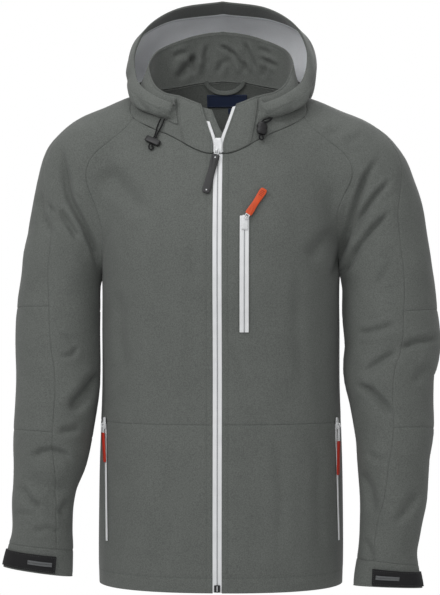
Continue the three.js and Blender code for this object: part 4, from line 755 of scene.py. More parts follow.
def front_upper(side):
    below = upper_heights(side)
    seam = [part[::-1] for part in RAGLAN[side]["front"]]
    count = len(seam[0])
    rise = np.linspace(0, 1, count)
    start = zip_edge(side, np.concatenate([below, mix(UNDERARM[side], NECK_EDGE, rise)]))
    sides = side_points(side, below)
    end = np.vstack([sides[0], seam[0]]), np.vstack([sides[1], seam[1]])
    bend = np.concatenate([0 * below, smooth_step(0, 1, rise)])
    corner = seam[0][-1, 2]

    def lift(angle, share):
        neck = neck_points(angle.ravel(), signed(side))[0][:, 2].reshape(angle.shape)
        return bend[:, None] * (neck - mix(NECK_EDGE, corner, share))
    return front_rows(side, start, end, lift)


def back_grid():
    edges = {}
    for side in ("right", "left"):
        heights = np.concatenate([LOWER_HEIGHTS, upper_heights(side)[1:]])
        sides = side_points(side, heights)
        seam = [part[::-1] for part in RAGLAN[side]["back"]]
        edges[side] = np.vstack([sides[0], seam[0]]), np.vstack([sides[1], seam[1]])
        seam_start = len(heights)
    start, end = edges["right"], edges["left"]
    last = len(start[0]) - 1
    neck_share = smooth_step(seam_start, last, np.arange(last + 1))[:, None]
    share = np.linspace(0, 1, 19)
    turn = mix(plan_angle(start[0])[:, None], 360 - plan_angle(end[0])[:, None], share)
    angle = np.where(turn > 180, 360 - turn, turn)
    sign = np.where(turn > 180, 1.0, -1.0)
    corners = [neck_points(BACK_CORNER, s)[0][0, 2] for s in (-1, 1)]
    neck = neck_points(np.maximum(angle, BACK_CORNER).ravel(), sign.ravel())[0][:, 2].reshape(angle.shape)
    lift = neck_share * (neck - mix(corners[0], corners[1], share))
    z = mix(start[0][:, 2:], end[0][:, 2:], share) + lift
    origin = np.stack([0 * z, 0 * z, z], axis=-1)
    rays = plan_direction(angle.ravel(), sign.ravel())
    found = on_cloth(body_form, origin.reshape(-1, 3), rays)
    points, normals = [part.reshape(origin.shape) for part in found]
    points[:, 0], points[:, -1] = start[0], end[0]
    normals[:, 0], normals[:, -1] = start[1], end[1]
    return points, normals


def station(side, travelled):
    """Place, directions and seam angle of the sleeve's centre line."""
    line = LINES[side]
    places = line["travelled"]
    i = int(np.clip(np.searchsorted(places, travelled, side="left") - 1, 0, len(places) - 2))
    share = (travelled - places[i]) / (places[i + 1] - places[i])
    p = line["point"]
    before, after = p[max(i - 1, 0)], p[min(i + 2, len(p) - 1)]
    down = unit(mix(p[i + 1], after, share) - mix(before, p[i], share))
    sign = signed(side)
    out = unit([-sign * down[2], 0, sign * down[0]])
    front = unit(np.array([0, -1, 0]) + down * down[1])
    return {"point": mix(p[i], p[i + 1], share), "down": down, "out": out, "front": front,
            "seam": mix(line["size"][i, 2], line["size"][i + 1, 2], share)}


def travel_near(side, point):
    line = LINES[side]
    return line["travelled"][np.linalg.norm(line["point"] - point, axis=1).argmin()]


def travel_at(side, z):
    line = LINES[side]
    return np.interp(-z, -line["point"][:, 2], line["travelled"])


def sight(at, point):
    away = point - at["point"]
    out, front = away @ at["out"], away @ at["front"]
    return math.degrees(math.atan2(front, out)), (away @ at["down"]) / math.hypot(out, front)


def sleeve_ring(at, start, end, tilt=0.0):
    """A ring from the front seam over the outside to the back. start and end are (turn, slant)."""
    fronts, outers = np.arange(6) / 6, np.linspace(0, 1, 13)
    turns = np.concatenate([mix(start[0], at["seam"], fronts), mix(at["seam"], end[0], outers)])
    slants = np.concatenate([start[1] * (1 - fronts), end[1] * outers])
    cos, sin = np.cos(np.radians(turns))[:, None], np.sin(np.radians(turns))[:, None]
    rays = at["out"] * cos + at["front"] * sin + at["down"] * (slants[:, None] + tilt * cos)
    return on_cloth(sleeve_form, at["point"], rays)


def sleeve_rings(side):
    """All rings of one sleeve with the ring numbers of its cross seams."""
    ends = SLEEVE_ENDS[side]
    front, back = RAGLAN[side]["front"], RAGLAN[side]["back"]
    sign = signed(side)
    angles = np.concatenate([np.linspace(FRONT_CORNER, 90, 7)[:-1], np.linspace(90, BACK_CORNER, 13)])
    rings = [neck_points(angles, sign)]
    last = len(front[0]) - 1
    first_travel = travel_near(side, neck_points(90, sign)[0][0])
    underarm_travel = travel_near(side, front[0][last])
    for i in range(1, last + 1):
        at = station(side, mix(first_travel, underarm_travel, i / last))
        start, end = sight(at, front[0][i]), sight(at, back[0][i])
        start = (start[0] + 360 * (start[0] < 0), start[1])
        end = (end[0] - 360 * (end[0] > 0), end[1])
        points, normals = sleeve_ring(at, start, end)
        points[0], points[-1], normals[0], normals[-1] = front[0][i], back[0][i], front[1][i], back[1][i]
        rings.append((points, normals))
    turn, slant = sight(station(side, underarm_travel), front[0][last])
    turn += 360 * (turn < 0)
    slope_from, slope_to = travel_at(side, ends["elbow_bottom"]), travel_at(side, ends["cuff_top"])

    def arm(travels):
        for travelled in travels:
            settle = smooth_step(0, 60, travelled - underarm_travel)
            a, b = mix(turn, 180, settle), mix(slant, 0, settle)
            slope = ends["tilt"] * smooth_step(slope_from, slope_to, travelled)
            rings.append(sleeve_ring(station(side, travelled), (a, b), (a - 360, b), slope))

    marks = {"neck": 0}
    seams = ("elbow_top", "elbow_bottom", "cuff_top")
    stops = [underarm_travel] + [travel_at(side, ends[key]) for key in seams]
    for key, count, low, high in zip(seams, (3, 8, 7), stops, stops[1:]):
        arm(np.linspace(low, high, count + 1)[1:])
        marks[key] = len(rings) - 1
    patch_top = ends["strap_top"] - PATCH_DROP
    strap_bottom = ends["strap_top"] - STRAP_WIDTH
    heights = [ends["strap_top"], patch_top, patch_top - PATCH_WIDTH, strap_bottom, ends["end"]]
    arm([travel_at(side, z) for z in heights])
    points = np.array([ring[0] for ring in rings])
    normals = np.array([ring[1] for ring in rings])
    return points, normals, marks

# The crease along the right armhole, which the sleeve and the torso share
ARMHOLE_CREASE = [(-248, -85), (-239, -129), (-231, -173), (-210, -212), (-193, -251), (-185, -293)]

# Smaller folds and creases as the camera sees them: where, side (-1 front, 1 back), depth, half width, path
FINE_FOLDS = [
    ("right", -1, 3.2, 4, ARMHOLE_CREASE),
    ("torso", -1, 2, 5, ARMHOLE_CREASE),
    ("right", -1, 2.6, 4, [(-249, -185), (-232, -212), (-216, -239)]),
    ("right", -1, 2.2, 4, [(-276, -158), (-271, -200), (-257, -234)]),
    ("right", -1, 1.6, 3.2, [(-265, -181), (-251, -200)]),
    ("torso", -1, 1.8, 12, [(-181, -125), (-147, -159), (-117, -201)]),
    ("right", -1, 1.8, 3.4, [(-245, -378), (-234, -386), (-225, -392)]),
    ("right", -1, 2, 3.4, [(-220, -400), (-226, -412), (-245, -415)]),
    ("right", -1, 4.2, 8, [(-178, -435), (-208, -471), (-231, -499)]),
    ("right", -1, 2.4, 5, [(-213, -523), (-233, -528), (-249, -529)]),
    ("right", -1, 2.4, 3.8, [(-298, -573), (-275, -560), (-258, -557), (-240, -562), (-225, -575)]),
    ("right", -1, 3.6, 5.5, [(-307, -610), (-291, -636), (-274, -647)]),
    ("right", -1, 1.4, 4, [(-315, -653), (-298, -654), (-280, -655)]),
    ("right", -1, 2, 6, [(-228, -631), (-237, -643), (-246, -657)]),
    ("right", -1, 1.8, 4, [(-290, -682), (-267, -677), (-242, -683)]),
    ("left", -1, 3.4, 4.2, [(246, -106), (220, -140), (207, -176), (196, -216), (182, -255), (172, -286),
                            (170, -309)]),
    ("torso", -1, 2, 5, [(230, -134), (207, -176), (196, -216), (182, -255), (172, -286), (170, -309)]),
    ("left", -1, 3, 4, [(260, -143), (233, -172), (212, -202), (195, -237)]),
    ("left", -1, 3, 4.2, [(260, -192), (231, -220), (209, -248), (192, -277), (182, -295)]),
    ("left", -1, 1.8, 5, [(257, -271), (248, -289), (237, -309)]),
    ("torso", -1, 2.2, 9, [(175, -217), (151, -244), (132, -268)]),
    ("left", -1, 1.2, 5, [(157, -79), (170, -73), (187, -71)]),
    ("left", -1, 1.2, 5, [(188, -93), (201, -84), (217, -79)]),
    ("left", -1, 2.6, 4.5, [(205, -380), (223, -377), (245, -372), (268, -363)]),
    ("left", -1, 2.8, 4.2, [(331, -385), (310, -389), (292, -392), (271, -403)]),
    ("left", -1, 2.4, 4.2, [(271, -403), (239, -423), (216, -439)]),
    ("left", -1, 3.4, 4.5, [(201, -456), (225, -465), (246, -484), (261, -508)]),
    ("left", -1, 1.6, 6, [(319, -424), (304, -439), (290, -456)]),
    ("left", -1, 1.8, 6, [(210, -585), (225, -615), (234, -655)]),
    ("left", -1, 1.8, 6, [(301, -616), (281, -647), (261, -670)]),
    ("left", -1, 1.6, 5, [(217, -689), (225, -708), (231, -727)]),
    ("left", -1, 1.4, 5, [(220, -559), (233, -568), (248, -572)]),
    ("torso", -1, 1.6, 7, [(-157, -306), (-154, -374), (-147, -438)]),
    ("torso", -1, 1.2, 6, [(12, -392), (26, -415), (40, -439)]),
    ("torso", -1, 0.9, 9, [(-108, -252), (-105, -359), (-112, -480)]),
    ("torso", -1, 0.8, 9, [(-38, -214), (-47, -328), (-43, -450)]),
    ("torso", -1, 0.9, 9, [(120, -271), (116, -374), (126, -480)]),
    ("torso", -1, 0.9, 8, [(-74, -529), (-81, -632), (-74, -724)]),
    ("torso", -1, 0.9, 8, [(84, -526), (93, -632), (87, -733)]),
    ("torso", -1, 0.8, 8, [(154, -541), (147, -632), (154, -724)]),
    ("right", 1, 3, 5, [(-240, -110), (-226, -180), (-205, -235), (-190, -284)]),
    ("left", 1, 3, 5, [(244, -118), (220, -180), (196, -238), (184, -288)]),
    ("right", 1, 2.4, 4.5, [(-262, -196), (-236, -236), (-214, -262)]),
    ("left", 1, 2.4, 4.5, [(270, -204), (244, -246), (220, -272)]),
    ("right", 1, 2.8, 5, [(-300, -398), (-262, -420), (-216, -460)]),
    ("left", 1, 2.8, 5, [(308, -418), (268, -440), (222, -468)]),
    ("right", 1, 2, 4.5, [(-298, -436), (-268, -446), (-236, -478)]),
    ("left", 1, 2, 4.5, [(306, -462), (276, -470), (240, -498)]),
    ("right", 1, 2.4, 4.5, [(-294, -560), (-262, -580), (-228, -568)]),
    ("left", 1, 2.4, 4.5, [(298, -590), (262, -610), (224, -602)]),
    ("right", 1, 1.8, 4.5, [(-300, -628), (-268, -640), (-238, -630)]),
    ("left", 1, 1.8, 4.5, [(294, -650), (258, -664), (226, -652)]),
    ("torso", 1, 1.6, 8, [(-120, -120), (-104, -220), (-112, -330)]),
    ("torso", 1, 1.6, 8, [(118, -130), (98, -230), (108, -350)]),
    ("torso", 1, 1.2, 9, [(-40, -420), (-36, -520), (-48, -640)]),
    ("torso", 1, 1.2, 9, [(52, -440), (58, -540), (46, -660)]),
]


# The camera in millimetres, for folds that are placed as they look in the picture
CAMERA_AWAY = 3100
CAMERA_LEVEL = -324.5
CAMERA_SLANT = 0.0401


def as_seen(p):
    """Places of points in the front view's middle plane, as the camera sees them."""
    nearer = CAMERA_AWAY / (CAMERA_AWAY + p[..., 1])
    x = (p[..., 0] + p[..., 1] * CAMERA_SLANT) * nearer
    return x, (p[..., 2] - CAMERA_LEVEL) * nearer + CAMERA_LEVEL


FOLD_STRENGTH = 2.0


def fine_relief(p, where, folds=FINE_FOLDS):
    """How far the smaller folds raise the cloth, negative in their valleys."""
    x, z = as_seen(p)
    side = p[..., 1] - middle_depth(p[..., 2])
    rise = np.zeros(x.shape)
    for part, facing, depth, width, path in folds:
        if part != where:
            continue
        nearest, along = path_distance(x, z, path)
        shown = smooth_step(4, 26, facing * side)
        taper = smooth_step(0, 0.22, along) * smooth_step(0, 0.22, 1 - along)
        valley = np.exp(-(nearest / width) ** 2)
        ridge = 0.34 * np.exp(-((nearest - 2.1 * width) / (1.3 * width)) ** 2)
        rise = rise + FOLD_STRENGTH * depth * shown * taper * (ridge - valley)
    return rise


def fold_profile(away, half_width, shoulder):
    """Across a fold: 1 in the middle of its valley, with a lower ridge on each side."""
    ridges = np.exp(-((np.abs(away) - 2 * half_width) / half_width) ** 2)
    return np.exp(-(away / half_width) ** 2) - shoulder * ridges


WAVES = np.random.default_rng(7)
WAVE_TABLE = [(WAVES.uniform(-1, 1, 3), WAVES.uniform(0, 6.28)) for _ in range(14)]


def soft_unevenness(p, size, stretch=1.0):
    """Slow unevenness of cloth, from -1 to 1, longer upright where stretch is over 1."""
    total = np.zeros(p.shape[:-1])
    for i, (direction, phase) in enumerate(WAVE_TABLE):
        wave = direction / np.linalg.norm(direction) * (1, 1, 1 / stretch)
        total += np.sin(p @ wave * (2 * math.pi / (size * (0.7 + 0.1 * i))) + phase)
    return total / 5


def smooth_across(at, values, wanted):
    """smooth_along for every row of a grid, each with its own places."""
    last = at.shape[1] - 1
    before = np.maximum(np.arange(last + 1) - 1, 0)
    after = np.minimum(np.arange(last + 1) + 1, last)
    slope = (values[:, after] - values[:, before]) / (at[:, after] - at[:, before])[..., None]
    i = np.clip((wanted[:, :, None] > at[:, None, 1:-1]).sum(-1), 0, last - 1)
    rows = np.arange(len(at))[:, None]
    step = (at[rows, i + 1] - at[rows, i])[..., None]
    t = np.clip((wanted[..., None] - at[rows, i][..., None]) / step, 0, 1)
    s = 1 - t
    start = values[rows, i] * (1 + 2 * t) + slope[rows, i] * step * t
    end = values[rows, i + 1] * (1 + 2 * s) - slope[rows, i + 1] * step * s
    return start * s * s + end * t * t


def grid_normals(points, like):
    """Normals of a fine grid, turned the same way as the rough ones."""
    across = np.gradient(points, axis=1)
    along = np.gradient(points, axis=0)
    normals = unit(np.cross(across, along))
    flip = np.sign((normals * like).sum(-1, keepdims=True))
    return normals * np.where(flip == 0, 1, flip)


def settle(form, points, normals):
    """Points moved along their normals onto the form's surface."""
    flat, out = points.reshape(-1, 3), normals.reshape(-1, 3)
    earlier = np.zeros(len(flat))
    value = form(flat)
    later = np.clip(-value, -8, 8)
    for _ in range(3):
        now = form(flat + out * later[:, None])
        change = now - value
        safe = np.where(np.abs(change) < 1e-6, 1e-6, change)
        step = np.where(np.abs(change) < 1e-6, 0, now * (later - earlier) / safe)
        earlier, value = later, now
        later = np.clip(later - np.clip(step, -6, 6), -12, 12)
    return (flat + out * later[:, None]).reshape(points.shape)


ALL_EDGES = ("first_row", "last_row", "first_column", "last_column")


class Panel:
    """A fine grid of cloth made from a rough one. seams names the edges that are sewn, near the
    distances from the first and last row and column that need a row or column of their own."""

    def __init__(self, points, normals, form=None, seams=(), near=None, spacing=4.2, around=False,
                 trim=0.15):
        near = near or {}
        groove = [0.9, 1.9, 3.2]
        extra = {}
        for edge in ALL_EDGES:
            own = [d for mark in near.get(edge, ()) for d in (mark - 0.9, mark, mark + 0.9)]
            extra[edge] = sorted(set(groove + own))
        self.around = around
        if around:
            points = np.concatenate([points[:, -2:], points, points[:, :3]], axis=1)
            normals = np.concatenate([normals[:, -2:], normals, normals[:, :3]], axis=1)
        both = np.concatenate([points, normals], axis=-1)
        steps = np.linalg.norm(np.diff(points, axis=0), axis=-1).mean(1)
        at = np.concatenate([[0], np.cumsum(steps)])
        length = at[-1]
        low, high = extra["first_row"], [length - d for d in reversed(extra["last_row"])]
        count = max(2, round((high[0] - low[-1]) / spacing))
        inner = np.linspace(low[-1], high[0], count + 1)[1:-1]
        self.down = np.array([trim, *low, *inner, *high, length - trim])
        self.length = length
        rows = smooth_along(at, both, self.down)
        chord = np.linalg.norm(np.diff(rows[..., :3], axis=1), axis=-1)
        at = np.concatenate([np.zeros((len(rows), 1)), np.cumsum(chord, axis=1)], axis=1)
        if around:
            first, whole = at[:, 2], at[:, -3] - at[:, 2]
            count = max(12, round(whole.mean() / spacing))
            wanted = first[:, None] + whole[:, None] * (np.arange(count) / count)
            self.over = wanted - first[:, None]
            self.width = whole
        else:
            self.width = at[:, -1]
            widest = max(extra["first_column"][-1], extra["last_column"][-1])
            room = np.minimum(1, 0.42 * self.width / widest)[:, None]
            self.room = room[0, 0]
            low = np.array([trim, *extra["first_column"]]) * room
            high = self.width[:, None] - np.array([*reversed(extra["last_column"]), trim]) * room
            inside = self.width.mean() - extra["first_column"][-1] - extra["last_column"][-1]
            count = max(2, round(inside / spacing))
            inner = mix(low[:, -1:], high[:, :1], np.linspace(0, 1, count + 1)[1:-1])
            wanted = np.concatenate([low, inner, high], axis=1)
            self.over = wanted
        fine = smooth_across(at, rows, wanted)
        self.points, self.normals = fine[..., :3], unit(fine[..., 3:])
        if form is not None:
            self.points = settle(form, self.points, self.normals)
        self.marks = {}
        for mark in near.get("first_row", ()):
            self.marks["first_row", mark] = int(np.abs(self.down - mark).argmin())
        for mark in near.get("last_row", ()):
            self.marks["last_row", mark] = int(np.abs(self.down - (length - mark)).argmin())
        for mark in near.get("first_column", ()):
            self.marks["first_column", mark] = int(np.abs(self.over[0] - mark * self.room).argmin())
        for mark in near.get("last_column", ()):
            place = self.width[0] - mark * self.room
            self.marks["last_column", mark] = int(np.abs(self.over[0] - place).argmin())
        self.normals = grid_normals(self.points, self.normals)
        if around:
            self.normals = self.wrapped_normals()
        for edge in seams:
            self.sink(0.5 * np.exp(-(self.from_edge(edge) / 1.5) ** 2))
        for (edge, mark) in self.marks:
            self.sink(0.45 * np.exp(-((self.from_edge(edge) - mark) / 1.0) ** 2))

    def wrapped_normals(self):
        wide = np.concatenate([self.points[:, -1:], self.points, self.points[:, :1]], axis=1)
        like = np.concatenate([self.normals[:, -1:], self.normals, self.normals[:, :1]], axis=1)
        return grid_normals(wide, like)[:, 1:-1]

    def from_edge(self, edge):
        if edge == "first_row":
            return np.broadcast_to(self.down[:, None], self.over.shape)
        if edge == "last_row":
            return np.broadcast_to(self.length - self.down[:, None], self.over.shape)
        return self.over if edge == "first_column" else self.width[:, None] - self.over

    def sink(self, amount):
        self.points = self.points - self.normals * np.asarray(amount)[..., None]

    def line(self, edge, mark):
        """Points and normals along a marked row or column."""
        i = self.marks[edge, mark]
        pick = (slice(None), i) if edge.endswith("column") else (i, slice(None))
        return self.points[pick], self.normals[pick]

    def moved(self, amount):
        return self.points + self.normals * amount

    def area(self):
        across = np.diff(self.points, axis=1)[:-1]
        along = np.diff(self.points, axis=0)[:, :-1]
        return np.linalg.norm(np.cross(across, along), axis=-1).sum()


def wall_mesh(outer, inner, around):
    """Points and faces of a thin closed wall with rounded edges. The last faces are the inner ones."""
    rows, columns = outer.shape[:2]
    index = np.arange(rows * columns).reshape(rows, columns)
    shift = rows * columns
    if around:
        index = np.concatenate([index, index[:, :1]], axis=1)
    a, b, c, d = index[:-1, :-1], index[:-1, 1:], index[1:, 1:], index[1:, :-1]
    outside = np.stack([a, b, c, d], axis=-1).reshape(-1, 4)
    inside = np.stack([a, d, c, b], axis=-1).reshape(-1, 4) + shift
    if around:
        loops = [index[0, :-1], index[-1, :-1][::-1]]
    else:
        sides = index[0, :-1], index[:-1, -1], index[-1, ::-1][:-1], index[::-1, 0][:-1]
        loops = [np.concatenate(sides)]
    flat_outer, flat_inner = outer.reshape(-1, 3), inner.reshape(-1, 3)
    points = [flat_outer, flat_inner]
    edges = []
    count = 2 * shift
    for loop in loops:
        own = flat_outer[loop]
        if around:
            beyond = 1 if loop[0] == 0 else -1
            towards = flat_outer[loop + beyond * columns]
        else:
            r, c2 = np.divmod(loop, columns)
            towards = flat_outer[np.clip(r, 1, rows - 2) * columns + np.clip(c2, 1, columns - 2)]
        middle = (own + flat_inner[loop]) / 2 + unit(own - towards) * 0.3
        ring = np.arange(len(loop)) + count
        after, loop_after = np.roll(ring, -1), np.roll(loop, -1)
        edges.append(np.stack([loop, ring, after, loop_after], axis=-1))
        edges.append(np.stack([ring, loop + shift, loop_after + shift, after], axis=-1))
        points.append(middle)
        count += len(loop)
    edge_faces = np.concatenate(edges)
    return np.concatenate(points), np.concatenate([outside, edge_faces, inside]), len(inside)


def wall_piece(name, panel, thickness=CLOTH, materials=None, replaces=(), slot="shell_fabric"):
    """A panel as a thin closed sheet of cloth, its outer face on the panel's grid."""
    outer, inner = panel.points, panel.moved(-thickness)
    points, faces, inside_count = wall_mesh(outer, inner, panel.around)
    normal_way = np.cross(outer[1, 1] - outer[1, 0], outer[1, 1] - outer[0, 1]) @ panel.normals[1, 1]
    if normal_way < 0:
        faces = faces[:, ::-1]
    own = np.zeros(len(faces), dtype=np.int32)
    own[-inside_count:] = 1
    flat = np.stack([panel.over, panel.from_edge("first_row")], axis=-1).reshape(-1, 2)
    rest = len(points) - 2 * len(flat)
    flat = np.concatenate([flat, flat, np.zeros((rest, 2))])
    materials = materials or (shell, shell_inside)
    piece = new_piece(name, points, faces.tolist(), materials, "jacket", replaces, slot, faces_of=own,
                      flat=flat)
    area = panel.area() * 1e-6
    return piece


stitches = []


def stitch_along(points, normals, pitch=3.4, length=2.4, width=0.28, height=0.3, lift=0.1):
    """A row of stitches on the cloth along a line."""
    travelled = travel_along(points)
    count = int(travelled[-1] / pitch)
    if count < 1:
        return
    middle = (np.arange(count) + 0.5) * travelled[-1] / count
    up = unit(read_along(travelled, normals, middle))
    start = read_along(travelled, points, middle - length / 2)
    end = read_along(travelled, points, middle + length / 2)
    centre = read_along(travelled, points, middle)
    side = unit(np.cross(end - start, up))
    shapes = np.stack([start, end, centre + side * width, centre + up * height, centre - side * width,
                       centre - up * height * 0.5], axis=1) + (up * lift)[:, None]
    stitches.append(shapes)


# Two ends, then four points round the middle
GRAIN_FACES = np.array([(0, 2, 3), (0, 3, 4), (0, 4, 5), (0, 5, 2),
                        (1, 3, 2), (1, 4, 3), (1, 5, 4), (1, 2, 5)])


def add_grains(name, kept, material, slot):
    """Small forms of six points each as one piece."""
    shapes = np.concatenate(kept)
    faces = (GRAIN_FACES[None] + (np.arange(len(shapes)) * 6)[:, None, None]).reshape(-1, 3)
    new_piece(name, shapes.reshape(-1, 3), faces.tolist(), [material], slot=slot)


# Body panels
def finish_cloth(panel, where, unevenness=0.5):
    """Smaller folds and the slow unevenness of worn cloth."""
    rise = fine_relief(panel.points, where)
    edge = np.ones(panel.over.shape)
    for name in ALL_EDGES[:2] if panel.around else ALL_EDGES:
        edge = edge * smooth_step(0, 14, panel.from_edge(name))
    stretch = 3.0 if where == "torso" else 1.2
    rise = rise + unevenness * edge * soft_unevenness(panel.points, 46, stretch)
    panel.sink(-rise)


HEM_STITCH = 22
ZIP_STITCH = 9


def add_body():
    sewn = ALL_EDGES[1:]
    for side in ("right", "left"):
        near = {"first_row": [HEM_STITCH], "first_column": [ZIP_STITCH]}
        lower = Panel(*front_lower(side), body_form, sewn, near)
        finish_cloth(lower, "torso")
        wall_piece(f"cloth_front_lower_{side}", lower, replaces=[f"front_lower_{side}"])
        stitch_along(*lower.line("first_row", HEM_STITCH))
        stitch_along(*lower.line("first_column", ZIP_STITCH))
        upper = Panel(*front_upper(side), body_form, ALL_EDGES, {"first_column": [ZIP_STITCH]})
        finish_cloth(upper, "torso")
        wall_piece(f"cloth_front_upper_{side}", upper, replaces=[f"front_upper_{side}"])
        stitch_along(*upper.line("first_column", ZIP_STITCH))
    back = Panel(*back_grid(), body_form, sewn, {"first_row": [HEM_STITCH]})
    finish_cloth(back, "torso")
    wall_piece("cloth_back", back, replaces=["back"])
    stitch_along(*back.line("first_row", HEM_STITCH))


def add_sleeve(side):
    points, normals, marks = sleeve_rings(side)
    elbow_top, elbow_bottom, cuff = marks["elbow_top"], marks["elbow_bottom"], marks["cuff_top"]
    parts = {
        "front": (slice(0, cuff + 1), slice(0, 7)),
        "upper": (slice(0, elbow_top + 1), slice(6, None)),
        "elbow": (slice(elbow_top, elbow_bottom + 1), slice(6, None)),
        "lower": (slice(elbow_bottom, cuff + 1), slice(6, None)),
    }
    for name, pick in parts.items():
        panel = Panel(points[pick], normals[pick], sleeve_form, ALL_EDGES)
        finish_cloth(panel, side, 0.8)
        wall_piece(f"cloth_sleeve_{name}_{side}", panel, replaces=[f"sleeve_{name}_{side}"])
    ring = points[cuff:, :-1], normals[cuff:, :-1]
    panel = Panel(*ring, None, ("first_row",), {"last_row": [2.5]}, around=True)
    wall_piece(f"cloth_cuff_{side}", panel, replaces=[f"cuff_{side}"])
    return ring


add_body()
cuff_rings = {side: add_sleeve(side) for side in ("right", "left")}

# Collar. Angles are plan angles from the centre front, shares go from the neck seam to the rim.
COLLAR_BULGE = 2
COLLAR_EDGE = np.array([(0, 6.8), (0.25, 7.2), (0.6, 15), (1, 26)], float)
FLAP_ANGLE = {"right": 27, "left": 24.5}
FLAP_SPREAD = 12
FLAP_RISE = 2.0
WIND_FLAP_INSET = 2.5
COLLAR_STITCH = 3.8
FLAP_STITCHES = {"last_row": [COLLAR_STITCH], "first_column": [3.2], "last_column": [2.2]}
WIND_FLAP_STITCH = 2.4

# Gathers of the collar at the back: plan angle with the wearer's right negative, where each starts
# and ends as a share of the collar's height, depth, half width
COLLAR_GATHERS = [
    (-172, 0.15, 0.85, 1.5, 4.5), (178, 0.05, 0.62, 1.8, 3.6), (160, 0.1, 0.9, 1.9, 4.4),
    (147, 0.2, 0.7, 1.2, 3.4), (-150, 0.1, 0.75, 1.4, 4.2), (-128, 0.15, 0.9, 1.6, 5.2),
    (126, 0.1, 0.85, 1.5, 5.0), (-95, 0.2, 0.8, 1.2, 5.6), (92, 0.15, 0.85, 1.3, 6.2),
    (-58, 0.1, 0.6, 1.0, 4.6), (60, 0.15, 0.7, 1.1, 5.0),
]

# Creases of the collar's inside at the back, as the camera sees them, like the small folds above
COLLAR_CREASES = [
    ("collar", 1, -2.6, 2.8, [(-4, 59), (8, 53), (20, 45), (33, 24), (36, 16)]),
    ("collar", 1, -2.2, 2.6, [(35, 64), (40, 52), (46, 38), (52, 22)]),
    ("collar", 1, -2.8, 4.2, [(-46, 44), (-43, 34), (-41, 24), (-42, 14)]),
    ("collar", 1, -2.6, 3.2, [(36, 34), (38, 26), (38, 16)]),
    ("collar", 1, -2.6, 3.2, [(62, 38), (70, 34), (78, 30), (86, 24)]),
    ("collar", 1, -2.6, 5.0, [(-34, 46), (-46, 32), (-56, 20), (-68, 6)]),
    ("collar", 1, -2.2, 4.0, [(72, 34), (68, 22), (63, 8)]),
    ("collar", 1, -1.8, 3.4, [(-20, 60), (-24, 42), (-20, 26)]),
    ("collar", 1, -1.6, 3.6, [(12, 38), (2, 30), (-6, 16)]),
    ("collar", 1, -1.6, 4.0, [(-74, 40), (-62, 46), (-50, 48)]),
    ("collar", 1, -1.4, 3.2, [(56, 52), (66, 50), (78, 44)]),
]


def collar_points(angles, sign, share):
    angles = np.atleast_1d(np.asarray(angles, float))
    base = neck_points(angles, sign)[0] + (0, 0, COLLAR_LIFT)
    reach, height = np.moveaxis(smooth_along(COLLAR_RIM[:, 0], COLLAR_RIM[:, 1:], angles), -1, 0)
    way = plan_direction(angles, sign)
    rim = way * reach[:, None] + np.outer(height, (0, 0, 1))
    return mix(base, rim, share) + way * (COLLAR_BULGE * 4 * share * (1 - share))


def edge_x(share):
    return smooth_along(COLLAR_EDGE[:, 0], COLLAR_EDGE[:, 1], share)


def edge_reach(share):
    reach = smooth_along(NECK_SEAM[:, 0], NECK_SEAM[:, 1], 5)
    return mix(reach, smooth_along(COLLAR_RIM[:, 0], COLLAR_RIM[:, 1], 15), share)


def edge_angle(share):
    return np.degrees(np.arcsin(edge_x(share) / edge_reach(share)))


def level_normals(points):
    """Normals of a grid that stands round the neck, turned away from its axis."""
    return grid_normals(points, points * (1, 1, 0))


def collar_rows(side, shares, spread):
    """Rows of one half of the collar from the front edge, spread(edge, share) giving the angles."""
    sign = -1 if side == "right" else 1
    return np.stack([collar_points(spread(edge_angle(share), share), sign, share) for share in shares])


def half_collar(side, shares):
    def spread(edge, share):
        flap = FLAP_ANGLE[side] + FLAP_SPREAD * share
        return np.concatenate([np.linspace(edge, flap, 7), np.linspace(flap, 180, 40)[1:]])
    return collar_rows(side, shares, spread)


def gather(panel):
    """Sink the collar's gathers into a panel."""
    turn = np.degrees(np.arctan2(panel.points[..., 0], -panel.points[..., 1]))
    share = panel.down[:, None] / panel.length
    for angle, start, end, depth, half_width in COLLAR_GATHERS:
        away = (turn - angle + 180) % 360 - 180
        middle, half = (start + end) / 2, (end - start) / 2
        fade = np.exp(-((share - middle) / (0.75 * half)) ** 2)
        lean = away + 9 * (share - middle)
        panel.sink(depth * fade * fold_profile(lean, half_width, 0.4))


def add_collar():
    shares = np.linspace(0, 1, 11)
    right, left = half_collar("right", shares), half_collar("left", shares)
    points = np.concatenate([right, left[:, -2::-1]], axis=1)
    near = {"last_row": [COLLAR_STITCH]}
    panel = Panel(points, level_normals(points), None, ("first_row",), near, spacing=3.2)
    gather(panel)
    rim, seam = panel.from_edge("last_row"), panel.from_edge("first_row")
    fade = smooth_step(0, 9, rim) * smooth_step(0, 5, seam)
    panel.sink(-fade * fine_relief(panel.points, "collar", COLLAR_CREASES))
    wall_piece("cloth_collar", panel, replaces=["collar"])
    stitch_along(*panel.line("last_row", COLLAR_STITCH))
    for side in ("right", "left"):
        def spread(edge, share):
            return np.linspace(edge, FLAP_ANGLE[side] + FLAP_SPREAD * share, 7)
        points = collar_rows(side, shares, spread)
        flap = Panel(points, level_normals(points), None, ("first_row",), FLAP_STITCHES, spacing=3)
        flap.points = flap.moved(FLAP_RISE)
        wall_piece(f"cloth_collar_front_{side}", flap, 1.5, replaces=[f"collar_front_{side}"])
        for edge, marks in FLAP_STITCHES.items():
            stitch_along(*flap.line(edge, marks[0]))


